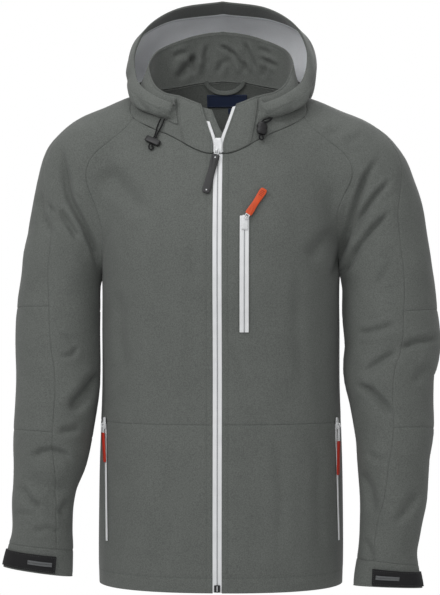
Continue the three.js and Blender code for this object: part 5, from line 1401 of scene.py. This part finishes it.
def add_wind_flap():
    rows = []
    for share in np.linspace(0.28, 0.97, 9):
        angles = np.linspace(edge_angle(share) + 4, edge_angle(share) - 10, 7)
        rows.append(collar_points(np.abs(angles), np.where(angles < 0, 1, -1), share))
    points = np.stack(rows)
    near = {"last_column": [WIND_FLAP_STITCH]}
    panel = Panel(points, level_normals(points), None, (), near, spacing=2.4)
    panel.points = panel.moved(-WIND_FLAP_INSET)
    wall_piece("cloth_wind_flap", panel, 1.2, replaces=["wind_flap"])
    stitch_along(*panel.line("last_column", WIND_FLAP_STITCH))


add_collar()
add_wind_flap()

# Hood: sections from the seam on the collar down, round the bottom and up to the rim
HOOD_SECTIONS = 64
HOOD_POINTS = 22
HOOD_BACK_BAND = 38
HOOD_LAYER_GAP = 0.4
LINING_THICKNESS = 1.0
LINING_START = 0.357
LIGHT_STRIP = 6

# Soft folds of the hood: share along it (right 0, back 1, left 2), start and end share of the section,
# depth, half width, lean
HOOD_FOLDS = [
    (0.22, 0.15, 0.75, 2.2, 0.028, 0.05), (0.4, 0.3, 0.9, 2.0, 0.035, -0.06),
    (0.58, 0.1, 0.6, 2.6, 0.04, 0.08), (0.78, 0.35, 0.85, 2.2, 0.04, -0.05),
    (0.95, 0.1, 0.55, 2.8, 0.045, 0.04), (1.12, 0.4, 0.9, 2.0, 0.035, 0.07),
    (1.27, 0.12, 0.6, 2.7, 0.045, -0.06), (1.46, 0.3, 0.8, 2.1, 0.035, 0.05),
    (1.63, 0.1, 0.65, 2.5, 0.04, -0.05), (1.8, 0.25, 0.85, 2.0, 0.03, 0.04),
]


def hood_section(along, sign):
    angle = smooth_along(HOOD_ALONG, HOOD_SEAM[:, 0], along)
    seam = collar_points(angle, sign, smooth_along(HOOD_ALONG, HOOD_SEAM[:, 1], along))[0]
    start = seam + plan_direction(angle, sign) * (CLOTH + 0.9)
    guides = [smooth_along(HOOD_ALONG, line, along) * (sign, 1, 1) for line in HOOD_LINES]
    length = even_curve([start, *guides], 2)[1]
    band = min(mix(HOOD_BAND, HOOD_BACK_BAND, smooth_step(0.45, 1, along)), 0.3 * length)
    band_share = band / length
    below, above = np.linspace(0, 1 - band_share, HOOD_POINTS), 1 - band_share * np.array([0.66, 0.33, 0])
    return even_curve([start, *guides], np.concatenate([below, above]))[0]


def fold_hood(points, normals, along, share):
    """The hood's points with its soft folds sunk in."""
    inside = smooth_step(0, 0.1, share) * smooth_step(0, 0.1, 1 - share)
    sink = 0.6 * soft_unevenness(points, 60) * inside
    for place, low, high, depth, half_width, lean in HOOD_FOLDS:
        middle, half = (low + high) / 2, (high - low) / 2
        away = along - place - lean * (share - middle) / half
        fade = np.exp(-((share - middle) / (0.7 * half)) ** 2)
        sink = sink + depth * fade * fold_profile(away, half_width, 0.35)
    return points - normals * sink[..., None]


# The hood's front ends close onto the collar beside the chin panels: shares of the collar there
HOOD_END = (0.36, 0.92)
HOOD_END_STEPS = ((1.0, 0.0), (0.86, 1.6), (0.6, 2.4), (0.3, 1.6))


def hood_end(side, sign, first):
    """Sections that narrow from the hood's first one to its seam on the collar."""
    shares = np.linspace(*HOOD_END, len(first))
    seam = []
    for share in shares:
        angle = FLAP_ANGLE[side] + FLAP_SPREAD * share + 1.2
        seam.append(collar_points(angle, sign, share)[0] + plan_direction(angle, sign) * (CLOTH + 0.8))
    seam = np.stack(seam)
    out = unit(first - first.mean(axis=0) + (0, -6, 0))
    return [mix(first, seam, share) + out * bulge for share, bulge in HOOD_END_STEPS]


def hood_grid():
    steps = np.linspace(0, 1, HOOD_SECTIONS)
    right = [hood_section(along, -1) for along in steps]
    left = [hood_section(along, 1) for along in steps[:-1]]
    right = hood_end("right", -1, right[0]) + right
    left = hood_end("left", 1, left[0]) + left
    points = np.stack([*right, *left[::-1]])
    normals = unit(np.cross(np.gradient(points, axis=1), np.gradient(points, axis=0)))
    ends = np.zeros(len(HOOD_END_STEPS))
    along = np.concatenate([ends, steps, 2 - steps[-2::-1], ends + 2])[:, None]
    chord = np.linalg.norm(np.diff(points, axis=1), axis=-1)
    at = np.concatenate([np.zeros((len(points), 1)), np.cumsum(chord, axis=1)], axis=1)
    points = fold_hood(points, normals, along, at / at[:, -1:])
    return points, unit(np.cross(np.gradient(points, axis=1), np.gradient(points, axis=0)))


def add_hood():
    points, normals = hood_grid()
    band_stitch = HOOD_BAND - 1.5
    near = {"last_column": [band_stitch], "first_row": [4], "last_row": [4]}
    shell_panel = Panel(points, normals, None, (), near, spacing=4)
    band_start = HOOD_POINTS - 1
    wall_piece("cloth_hood", shell_panel, replaces=["hood"])
    stitch_along(*shell_panel.line("last_column", band_stitch))
    inset = CLOTH + HOOD_LAYER_GAP
    near = {"last_column": [2.2]}
    band = Panel(points[:, band_start:], normals[:, band_start:], None, (), near, spacing=3.4)
    band.points = band.moved(-inset)
    wall_piece("cloth_hood_rim_band", band, LINING_THICKNESS, replaces=["hood_rim_band"])
    first = round(LINING_START * (HOOD_SECTIONS - 1)) + len(HOOD_END_STEPS)
    deep = slice(first, len(points) - first), slice(2, band_start + 1)
    cover = Panel(points[deep], normals[deep], None, (), {"last_column": [LIGHT_STRIP]}, spacing=4)
    cover.points = cover.moved(-inset)
    split = cover.marks["last_column", LIGHT_STRIP]
    wall_piece("cloth_hood_lining", cover, LINING_THICKNESS, (lining, lining), ["hood_lining"],
               "lining_fabric")
    strip_points, strip_normals = cover.points[:, split:], cover.normals[:, split:]
    strip = Panel(strip_points, strip_normals, None, (), {}, spacing=3)
    strip.points = strip.moved(-LINING_THICKNESS - 0.15)
    wall_piece("cloth_hood_light_strip", strip, 0.5, (binding, binding), (), "lining_fabric")


add_hood()

# Hang loop, bare label and its tab, inside the back
HANG_LOOP = [(-27, 11), (-22, 3), (-12, -4), (3, -6.5), (18, -4), (29, 3.5), (34, 11)]
LOOP_WIDTH = 6.5
LOOP_DEPTH = CLOTH + 3
LABEL = (-25, 38, -27, -8)
LABEL_TAB = (8, 14, -37, -28.5)
LABEL_DEPTH = CLOTH + 0.9
LABEL_STITCH = 1.6


def back_inside(x, z):
    start = np.stack(np.broadcast_arrays(x, 0.0, z), axis=-1).reshape(-1, 3)
    return on_cloth(body_form, start, (0, 1, 0))


def inside_patch(name, box, depth, node, bulge):
    left, right, bottom, top = box
    x, z = np.meshgrid(np.linspace(left, right, 9), np.linspace(bottom, top, 5))
    points, normals = [grid.reshape(5, 9, 3) for grid in back_inside(x, z)]
    edges = {edge: [LABEL_STITCH] for edge in ALL_EDGES} if bulge else {}
    panel = Panel(points, normals, None, (), edges, spacing=2)
    away = np.minimum(panel.from_edge("first_row"), panel.from_edge("last_row"))
    panel.points = panel.moved(-depth)
    panel.sink(bulge * smooth_step(0, 6, away) * (1 + 0.6 * np.sin(panel.over / 9)))
    wall_piece(name, panel, 0.8, (label_cloth, label_cloth), [node], "label_fabric")
    if bulge:
        for edge in edges:
            points, normals = panel.line(edge, LABEL_STITCH)
            stitch_along(points - normals * 0.8, -normals, pitch=2.4, length=1.7)


def add_hang_loop():
    places = even_curve([(x, 0, z) for x, z in HANG_LOOP], 25)[0]
    points = back_inside(places[:, 0], places[:, 2])[0] - (0, LOOP_DEPTH, 0)
    normal = np.array((0.0, -1.0, 0.0))
    across = unit(np.cross(np.gradient(points, axis=0), normal)) * LOOP_WIDTH / 2
    grid = np.stack([points - across, points, points + across], axis=1)
    panel = Panel(grid, np.broadcast_to(normal, grid.shape), None, (), {}, spacing=1.5)
    panel.sink(0.3 * (2 * panel.over / panel.width[:, None] - 1) ** 2)
    wall_piece("cloth_hang_loop", panel, 1.0, (shell, shell), ["hang_loop"])


add_hang_loop()
inside_patch("cloth_neck_label", LABEL, LABEL_DEPTH, "neck_label", 0.35)
inside_patch("cloth_label_tab", LABEL_TAB, LABEL_DEPTH, "label_tab", 0)

# Zips
TAPE = 1.4
# Half width of the dark centre strip, painted shade of the slit between the tape's halves
ZIP_SLIT_SHADE = 0.8
MAIN_ZIP_START = HEM_HEIGHT + 1
MAIN_ZIP_END = NECK_EDGE - 0.6
ZIP_END_SHARES = {"right": (0.03, 0.68), "left": (0.03, 0.97)}
POCKET_RISE = 0.5 + TAPE
POCKET_ZIPS = {
    "chest": {"x": (39.5, 39), "top": -206, "bottom": -375, "width": 13},
    "side_right": {"x": (-169, -166), "top": -513, "bottom": -686, "width": 4},
    "side_left": {"x": (172.5, 177), "top": -513, "bottom": -686, "width": 4},
}
grains = []


def coil_along(points, normals, pitch, size):
    """Small teeth along a line, as low rounded grains across it."""
    travelled = travel_along(points)
    count = int(travelled[-1] / pitch)
    at = (np.arange(count) + 0.5) * travelled[-1] / count
    centre = read_along(travelled, points, at)
    up = unit(read_along(travelled, normals, at))
    way = unit(np.gradient(centre, axis=0))
    side = np.cross(way, up)
    length, width, height = size
    grains.append(np.stack([centre - side * length / 2, centre + side * length / 2,
                            centre + way * width / 2, centre + up * height,
                            centre - way * width / 2, centre - up * height * 0.4], axis=1))


def zip_tape(name, points, normals, replaces, rise=0.0, line=True, relief=False):
    """A tape with two coated halves that meet in a fine line; the slit between them is a dark strip of
    painted shade.
    """
    panel = Panel(points, normals, None, (), {}, spacing=2.2, trim=0.1)
    if relief:
        panel.sink(-fine_relief(panel.points, "torso"))
    panel.points = panel.moved(rise)
    width = panel.width[:, None]
    from_line = (panel.over / width - 0.5) * width
    if line:
        panel.sink(0.55 * np.exp(-(from_line / 0.7) ** 2))
    wall_piece(name, panel, TAPE, (tape, tape), replaces, "zip_tape")
    if line:
        nearest = [np.abs(from_line[0] - way).argmin() for way in (-0.01, 0.01)]
        middle = np.stack([panel.points[:, column] for column in nearest]).mean(0)
        centre = np.abs(from_line[0]).argmin()
        normal = panel.normals[:, centre]
        # A dark strip along the meeting line: painted shade of the slit between the halves.
        across = unit(np.cross(np.gradient(middle, axis=0), normal)) * ZIP_SLIT_SHADE
        seam = np.stack([middle - across, middle + across], axis=1) + normal[:, None] * 0.2
        under = seam - normal[:, None] * 0.5
        vertices, faces, _ = wall_mesh(seam, under, False)
        new_piece(name + "_line", vertices, faces.tolist(), [tape_slit_shade], slot="zip_tape")
        coil_along(middle + normal * 0.2, normal, 1.7, (0.9, 0.8, 0.25))
    return panel


def add_main_zip():
    x, z = np.meshgrid(np.linspace(-ZIP_WIDTH / 2, ZIP_WIDTH / 2, 7),
                       np.linspace(MAIN_ZIP_START, MAIN_ZIP_END, 60))
    start = np.stack([x, np.zeros(x.shape), z], axis=-1)
    found = on_cloth(body_form, start.reshape(-1, 3), (0, -1, 0))
    points, normals = [part.reshape(start.shape) for part in found]
    zip_tape("zip_main_tape", points, normals, ["main_zip"])
    for side, sign in (("right", -1), ("left", 1)):
        rows = []
        for share in np.linspace(*ZIP_END_SHARES[side], 15):
            outer = edge_x(share) - 0.35
            across = np.linspace(outer, outer - BRANCH_WIDTH, 4)
            angles = np.degrees(np.arcsin(across / edge_reach(share)))
            rows.append(collar_points(angles, sign, share))
        points = np.stack(rows)
        normals = level_normals(points)
        panel = zip_tape(f"zip_tape_end_{side}", points, normals, [f"zip_end_{side}"], line=False)
        coil_along(panel.points[:, -2], panel.normals[:, -2], 1.6, (1.6, 1.0, 0.5))


def pocket_zip_points(zip_sizes, z, offsets=(0.0,)):
    share = (zip_sizes["top"] - np.asarray(z, float)) / (zip_sizes["top"] - zip_sizes["bottom"])
    x = mix(zip_sizes["x"][0], zip_sizes["x"][1], share)
    start = np.stack([x, np.zeros(x.shape), np.asarray(z, float)], axis=-1)
    centre, normal = on_cloth(body_form, start, (0, -1, 0))
    across = unit(np.cross((0, 0, 1), normal))
    columns = []
    for offset in offsets:
        inside = centre + across * offset - normal * 12
        columns.append(on_cloth(body_form, inside, normal, False))
    return np.stack(columns, axis=1), normal


def add_pocket_zips():
    for name, sizes in POCKET_ZIPS.items():
        half = sizes["width"] / 2
        heights = np.linspace(sizes["bottom"], sizes["top"], 36)
        points, normal = pocket_zip_points(sizes, heights, np.linspace(-half, half, 5))
        normals = np.broadcast_to(normal[:, None], points.shape)
        wide = name == "chest"
        zip_tape(f"zip_{name}_tape", points, normals, [f"{name}_zip"], POCKET_RISE, wide, relief=True)
        for gap in (-half - 2.2, half + 2.2) if wide else (half + 2.6,):
            line, _ = pocket_zip_points(sizes, heights, [gap])
            raised = line[:, 0] + normal * (fine_relief(line[:, 0], "torso") + 0.1)[:, None]
            stitch_along(raised, normal)


add_main_zip()
add_pocket_zips()

# Moulded pieces, each shaped in a frame of its own: x, y, z are (across, along, out)
SLIDERS = {
    "main": {"z": -102, "width": 12, "length": 24, "bar": (-1, -8), "link": 7.5, "end": (-17, -173)},
    "chest": {"z": -216, "width": 10, "length": 22, "bar": (1.5, 6), "link": 7.5, "end": (68, -167)},
    "side_right": {"z": -512, "width": 8, "length": 18, "bar": (0, -3), "link": 12, "end": (-168, -570)},
    "side_left": {"z": -512, "width": 8, "length": 18, "bar": (0, -3), "link": 24, "end": (174, -589)},
}
PULLS = {
    "main": {"width": 12, "thickness": 2.4, "colour": (black_rubber, dots), "slot": "pull_black"},
    "chest": {"width": 10.5, "thickness": 2.4, "colour": (orange, orange_groove_shade), "slot": "pull_orange"},
    "side_right": {"width": 9, "thickness": 2.2, "colour": (red, orange_groove_shade), "slot": "pull_orange"},
    "side_left": {"width": 9, "thickness": 2.2, "colour": (red, orange_groove_shade), "slot": "pull_orange"},
}
PULL_LIFT = 3
SLIDER_LOW, SLIDER_TOP = 0.4, 3.0
ARCH = {"half_length": 3.1, "height": 3.8, "wall": 1.2}
LINK = {"half": 3.4, "hole": 2.2, "thickness": 1.4, "bar": 0.8}


def level_ring(outline, z):
    """A flat outline's points at a height."""
    return np.column_stack([outline, np.full(len(outline), z)])


class Shape:
    """Points and faces of moulded forms, gathered in one frame with a material number for each face."""

    def __init__(self):
        self.points, self.faces, self.kinds = [], [], []
        self.count = 0

    def add(self, points, faces, kind=0):
        points = np.asarray(points, float).reshape(-1, 3)
        self.points.append(points)
        self.faces += [tuple(int(i) + self.count for i in face) for face in faces]
        self.kinds += [kind] * len(faces)
        self.count += len(points)

    def rings(self, rings, kind=0, closed=False):
        """Quads between equal rings, with caps on the first and last unless the rings close up."""
        rows, around = len(rings), len(rings[0])
        faces = []
        for r in range(rows if closed else rows - 1):
            after = (r + 1) % rows
            for i in range(around):
                j = (i + 1) % around
                faces.append((r * around + i, r * around + j, after * around + j, after * around + i))
        if not closed:
            faces.append(tuple(reversed(range(around))))
            faces.append(tuple(range((rows - 1) * around, rows * around)))
        self.add(np.concatenate(rings), faces, kind)

    def block(self, outline, low, high, bevel, kind=0, steps=3, crown=0.0):
        """An outline raised from low to high, with rounded edges and a slightly domed top."""
        outline = np.asarray(outline, float)
        run = np.roll(outline, -1, axis=0) - np.roll(outline, 1, axis=0)
        outward = unit(np.stack([run[:, 1], -run[:, 0]], axis=1))
        turns = np.linspace(0, math.pi / 2, steps + 1)
        levels = [(bevel * (1 - math.sin(a)), low + bevel * (1 - math.cos(a))) for a in turns]
        levels += [(bevel * (1 - math.sin(a)), high - bevel * (1 - math.cos(a))) for a in reversed(turns)]
        rings = [level_ring(outline - outward * inset, z) for inset, z in levels]
        if crown:
            centre = outline.mean(axis=0)
            top = rings[2 * steps + 1][:, :2]
            for share in (0.66, 0.33):
                rings.append(level_ring(centre + (top - centre) * share, high + crown * (1 - share ** 2)))
        self.rings(rings, kind)

    def piece(self, name, place, materials, body, replaces, slot):
        origin, across, along, out = place
        local = np.concatenate(self.points)
        points = origin + local @ np.stack([across, along, out])
        return new_piece(name, points, self.faces, materials, body, replaces, slot, faces_of=self.kinds)


def rounded(half_width, low, high, corner, steps=4):
    """A rounded rectangle, counterclockwise."""
    outline = []
    corners = ((half_width, low), (half_width, high), (-half_width, high), (-half_width, low))
    for (x, y), start in zip(corners, (-90, 0, 90, 180)):
        inward_x, inward_y = -math.copysign(corner, x), corner if y == low else -corner
        for turn in np.radians(np.linspace(start, start + 90, steps + 1)):
            outline.append((x + inward_x + corner * math.cos(turn), y + inward_y + corner * math.sin(turn)))
    return outline


def slider_outline(width, length):
    half, neck = width / 2, 0.34 * width
    side = catmull([(half, -length / 2 + 1.2, 0), (half, 0.1 * length, 0), (0.86 * half, 0.28 * length, 0),
                    (neck, length / 2 - 0.8, 0)], 12)[:, :2]
    right = [(half - 1.2, -length / 2), *side, (neck - 1, length / 2)]
    return [*right, *[(-x, y) for x, y in reversed(right)]]


def square_to(direction, axis):
    return unit(direction - axis * (direction @ axis))


def slider_place(name):
    sizes = SLIDERS[name]
    ends = np.array([sizes["z"] - sizes["length"] / 2, sizes["z"] + sizes["length"] / 2])
    if name == "main":
        low, normal = front_spot(0, ends[0] - 2)
        high = collar_points(3, 1, 0.2)[0] * (0, 1, 1)
        rise = 0.0
    else:
        zip_sizes = POCKET_ZIPS[name]
        points, normals = pocket_zip_points(zip_sizes, np.minimum(ends, zip_sizes["top"]))
        low, high, normal = points[0, 0], points[1, 0], normals[1]
        rise = POCKET_RISE
    along = unit(high - low)
    out = square_to(normal, along)
    across = np.cross(along, out)
    share = (sizes["z"] - low[2]) / (high[2] - low[2])
    return mix(low, high, share) + out * rise, across, along, out


def slider_shape(sizes, turn):
    form = Shape()
    outline = np.array(slider_outline(sizes["width"], sizes["length"]))
    form.block(outline, SLIDER_LOW, SLIDER_LOW + 1.0, 0.35)
    form.block(outline * 0.94, SLIDER_LOW + 0.9, SLIDER_TOP - 0.35, 0.7, crown=0.3)
    for side in (-1, 1):
        wing = np.array(rounded(0.7, -0.3 * sizes["length"], 0.12 * sizes["length"], 0.6))
        form.block(wing + (side * (sizes["width"] / 2 - 1.4), 0), SLIDER_TOP - 0.8, SLIDER_TOP, 0.35)
    bar_x, bar_y = sizes["bar"]
    half, top, wall = ARCH["half_length"], ARCH["height"], ARCH["wall"]
    outer = catmull([(-half, -0.5, 0), (-half, top - 1.6, 0), (-half + 1, top - 0.2, 0), (0, top, 0),
                     (half - 1, top - 0.2, 0), (half, top - 1.6, 0), (half, -0.5, 0)], 19)[:, :2]
    inner = catmull([(-half + wall, -0.5, 0), (-half + wall, top - 2.4, 0),
                     (-half + 1.5, top - wall - 0.2, 0), (0, top - wall, 0),
                     (half - 1.5, top - wall - 0.2, 0), (half - wall, top - 2.4, 0),
                     (half - wall, -0.5, 0)], 19)[:, :2]
    c, s = math.cos(turn), math.sin(turn)
    rings = []
    for (y0, z0), (y1, z1) in zip(outer, inner):
        ring = [(-0.6, y0, z0), (0.6, y0, z0), (0.9, mix(y0, y1, 0.3), mix(z0, z1, 0.3)),
                (0.9, mix(y0, y1, 0.7), mix(z0, z1, 0.7)), (0.6, y1, z1), (-0.6, y1, z1),
                (-0.9, mix(y0, y1, 0.7), mix(z0, z1, 0.7)), (-0.9, mix(y0, y1, 0.3), mix(z0, z1, 0.3))]
        turned = [(x * c - y * s + bar_x, x * s + y * c + bar_y, z + SLIDER_TOP) for x, y, z in ring]
        rings.append(np.array(turned))
    form.rings(rings)
    return form


def pull_shape(name, length):
    sizes, link = PULLS[name], SLIDERS[name]["link"]
    form = Shape()
    half_thick = LINK["thickness"] / 2
    outer = np.array(rounded(LINK["half"], -LINK["bar"], link + 1, 0.9))
    inner = np.array(rounded(LINK["hole"], LINK["bar"], link - 1.8, 0.7))
    levels = ((0.25, -half_thick), (0, -half_thick + 0.3), (0, half_thick - 0.3), (0.25, half_thick))
    rings = [level_ring(mix(outer, inner, inset / 1.2), z) for inset, z in levels]
    rings += [level_ring(mix(inner, outer, inset / 1.2), z) for inset, z in reversed(levels)]
    form.rings(rings, 2, closed=True)
    half, back = sizes["width"] / 2, 0.95
    front = sizes["thickness"] - back
    waist = 0.86
    side = catmull([(half * 0.9, link - 0.2, 0), (half, link + 3, 0),
                    (half * waist, mix(link, length, 0.45), 0), (half, length - 4, 0),
                    (half * 0.82, length - 0.9, 0)], 18)[:, :2]
    outline = [(half * 0.6, link - 1), *side, (half * 0.5, length), (-half * 0.5, length),
               *[(-x, y) for x, y in side[::-1]], (-half * 0.6, link - 1)]
    form.block(outline, -back, front - 0.25, 0.75, crown=0.25)
    if name == "main":
        for y in (link + 4.5, length - 4.5):
            turns = np.linspace(0, 2 * math.pi, 12, endpoint=False)
            dot = np.column_stack([1.1 * np.cos(turns), y + 1.1 * np.sin(turns)])
            form.block(dot, front - 0.5, front + 0.1, 0.15, kind=1)
    else:
        # Each groove is a low band in the darker orange: painted shade of the groove.
        for step in range(4):
            y = length - 4.5 - 2.6 * step
            groove = rounded(half * 0.62, y - 0.55, y + 0.55, 0.5)
            form.block(groove, front - 0.5, front + 0.12, 0.2, kind=1)
    return form


def add_slider(name):
    origin, across, along, out = slider_place(name)
    sizes = SLIDERS[name]
    bar_rise = SLIDER_TOP + (ARCH["height"] - ARCH["wall"]) / 2
    bar = origin + across * sizes["bar"][0] + along * sizes["bar"][1] + out * bar_rise
    cloth, normal = front_spot(*sizes["end"])
    end = cloth + normal * PULL_LIFT
    to_end = unit(end - bar)
    pull_out = square_to(out, to_end)
    turn = math.atan2(-(to_end @ across), to_end @ along)
    place = (origin, across, along, out)
    slider = slider_shape(sizes, turn)
    slider.piece(f"zip_{name}_slider", place, [lacquer], "jacket", [f"{name}_slider"], "slider_white")
    place = (bar, np.cross(to_end, pull_out), to_end, pull_out)
    pull = pull_shape(name, float(np.linalg.norm(end - bar)))
    node = f"{name}_pull"
    materials = [*PULLS[name]["colour"], lacquer]
    pull.piece(f"zip_{name}_pull", place, materials, node, [node], PULLS[name]["slot"])


for name in SLIDERS:
    add_slider(name)


# The retainer box at the foot of the main zip
def add_retainer():
    foot, normal = front_spot(0, HEM_HEIGHT + 7)
    form = Shape()
    form.block(rounded(4.4, -5.2, 5.2, 1.2), 0.1, 2.2, 0.5)
    form.block(rounded(0.5, -4.2, 4.2, 0.4), 2.1, 2.4, 0.12, kind=1)
    along = square_to(np.array((0.0, 0.0, 1.0)), normal)
    place = (foot, np.cross(along, normal), along, normal)
    form.piece("zip_main_retainer", place, [black_plastic, lacquer], "jacket", (), "pull_black")


add_retainer()

# Cord locks, with the slot that the two strands run through
LOCKS = {
    "right": {"centre": (-97, -94.6, -93.5), "facing": (-0.24, -0.89, 0.38), "tilt": 24},
    "left": {"centre": (64.3, -99, -76), "facing": (0.53, -0.82, 0.22), "tilt": 15},
}
LOCK_BAR = {"width": 25, "depth": 7, "height": 9, "corner": 2.5}
LOCK_BARREL = {"width": 17, "depth": 10, "height": 19, "neck": 0.75}
LOCK_SLOT = (6.6, 3.4)


def oval(turns, width, depth, across=1.0, through=1.0):
    """An oval, squarer where its powers across and through are under 1."""
    c, s = np.cos(turns), np.sin(turns)
    return np.column_stack([width / 2 * np.sign(c) * np.abs(c) ** across,
                            depth / 2 * np.sign(s) * np.abs(s) ** through])


def add_lock(side):
    lock = LOCKS[side]
    out = unit(np.array(lock["facing"]))
    level = unit(np.cross((0, 0, 1), out))
    up = np.cross(out, level)
    tilt = math.radians(lock["tilt"])
    x = level * math.cos(tilt) - up * math.sin(tilt)
    y = up * math.cos(tilt) + level * math.sin(tilt)
    turns = np.linspace(0, 2 * math.pi, 32, endpoint=False)
    slot = oval(turns, *LOCK_SLOT, 0.6, 0.6)
    if side == "right":
        half = LOCK_BAR["height"] / 2
        outer = oval(turns, LOCK_BAR["width"], LOCK_BAR["depth"], 0.35, 0.5)
        profile = [(0.82, -half), (0.95, -half + 0.5), (1, -half + 1.4),
                   (1, half - 1.4), (0.95, half - 0.5), (0.82, half)]
    else:
        half = LOCK_BARREL["height"] / 2
        outer = oval(turns, LOCK_BARREL["width"], LOCK_BARREL["depth"])
        profile = [(0.62, -half), (0.75, -0.9 * half), (0.94, -0.66 * half), (1, -0.5 * half),
                   (1, -0.12 * half), (0.93, -0.06 * half), (0.93, 0.06 * half), (1, 0.12 * half),
                   (1, 0.5 * half), (0.94, 0.66 * half), (0.75, 0.9 * half), (0.62, half)]

    def ring(outline, height):
        return np.column_stack([outline[:, 0], np.full(len(turns), height), -outline[:, 1]])

    rings = [ring(outer * size, height) for size, height in profile]
    rings += [ring(slot, height) for height in (half - 0.4, -half + 0.4)]
    form = Shape()
    form.rings(rings, closed=True)
    place = (np.array(lock["centre"], float), x, y, out)
    return form.piece(f"hood_cord_lock_{side}", place, [black_plastic], "jacket", [f"cord_lock_{side}"],
                      "lock_black")


locks = {side: add_lock(side) for side in LOCKS}

# Cuff straps on the outside of each cuff
STRAP_RISE, STRAP_THICKNESS = 2.5, 2.0
PATCH_RISE, PATCH_THICKNESS = 3.8, 0.8
STRAP_START = 6
PATCH_COLUMNS = np.array([6.35, 7, 7.75, 8.5])


def add_strap(side):
    points, normals = cuff_rings[side]
    pick = slice(1, 5), slice(STRAP_START, STRAP_START + 7)
    near = {"first_row": [2], "last_row": [2], "first_column": [2.4], "last_column": [2.4]}
    strap = Panel(points[pick], normals[pick], None, (), near, spacing=2.6)
    strap.points = strap.moved(STRAP_RISE)
    wall_piece(f"cuff_band_strap_{side}", strap, STRAP_THICKNESS, (strap_black, strap_black),
               [f"cuff_strap_{side}"], "strap_black")
    for edge in near:
        stitch_along(*strap.line(edge, near[edge][0]), pitch=2.8, length=2)
    both = np.concatenate([points[2:4], normals[2:4]], axis=-1)
    low = np.floor(PATCH_COLUMNS).astype(int)
    part = (PATCH_COLUMNS - low)[None, :, None]
    both = mix(both[:, low], both[:, low + 1], part)
    patch = Panel(both[..., :3], unit(both[..., 3:]), None, (), {}, spacing=1.6)
    patch.points = patch.moved(PATCH_RISE)
    wall_piece(f"cuff_band_patch_{side}", patch, PATCH_THICKNESS, (patch_grey, patch_grey),
               [f"strap_patch_{side}"], "patch_grey")


for side in ("right", "left"):
    add_strap(side)


add_grains("zip_teeth", grains, teeth, "zip_tape")
add_grains("topstitching", stitches, stitch, "shell_fabric")


# Studio
def add_light(name, place, aim, size, power, colour=(1, 1, 1)):
    data = bpy.data.lights.new(name, "AREA")
    data.shape = "RECTANGLE"
    data.size, data.size_y = size
    data.energy = power
    data.color = colour
    light = bpy.data.objects.new(name, data)
    scene.collection.objects.link(light)
    light.location = place
    light.rotation_euler = (Vector(aim) - Vector(place)).to_track_quat("-Z", "Y").to_euler()


add_light("key", (-2.0, -2.1, 1.6), (0, 0, -0.3), (1.1, 1.1), 34)
add_light("front", (-0.4, -3.0, 0.55), (0, 0, -0.25), (0.7, 0.7), 14)
add_light("fill", (2.3, -2.2, 0.3), (0, 0, -0.35), (1.6, 2.0), 5)
add_light("top", (0.1, 0.4, 2.2), (0, 0, 0), (1.6, 1.2), 14)
add_light("hood", (0, -1.0, 1.0), (0, 0.1, 0.02), (0.5, 0.3), 4)
add_light("back", (0.4, 2.6, 0.9), (0, 0, -0.3), (2.2, 1.6), 30)


def add_floor():
    radius, height, count = 3.0, -1.45, 96
    angles = np.linspace(0, 2 * math.pi, count, endpoint=False)
    rim = [(radius * math.cos(a), radius * math.sin(a), height) for a in angles]
    mesh = bpy.data.meshes.new("floor")
    mesh.from_pydata(rim, [], [list(range(count))])
    nodes = Nodes("floor")
    where = nodes.add("ShaderNodeTexCoord").outputs["Object"]
    nodes.shade(Base_Color=nodes.ramp(nodes.noise(where, 3, 3), grey(0.74), grey(0.78)), Roughness=0.7)
    mesh.materials.append(nodes.material)
    floor = bpy.data.objects.new("floor", mesh)
    scene.collection.objects.link(floor)


add_floor()


def add_world():
    world = bpy.data.worlds.new("studio")
    world.use_nodes = True
    tree = world.node_tree
    tree.nodes["Background"].inputs["Color"].default_value = (1, 1, 1, 1)
    tree.nodes["Background"].inputs["Strength"].default_value = 0.45
    bright = tree.nodes.new("ShaderNodeBackground")
    bright.inputs["Color"].default_value = (1, 1, 1, 1)
    bright.inputs["Strength"].default_value = 1.0
    path = tree.nodes.new("ShaderNodeLightPath")
    choose = tree.nodes.new("ShaderNodeMixShader")
    tree.links.new(path.outputs["Is Camera Ray"], choose.inputs[0])
    tree.links.new(tree.nodes["Background"].outputs[0], choose.inputs[1])
    tree.links.new(bright.outputs[0], choose.inputs[2])
    tree.links.new(choose.outputs[0], tree.nodes["World Output"].inputs["Surface"])
    scene.world = world


add_world()
scene.view_settings.view_transform = "Standard"

for side in ("right", "left"):
    piece, exit_point, length = cords[side]
    tuple(exit_point)
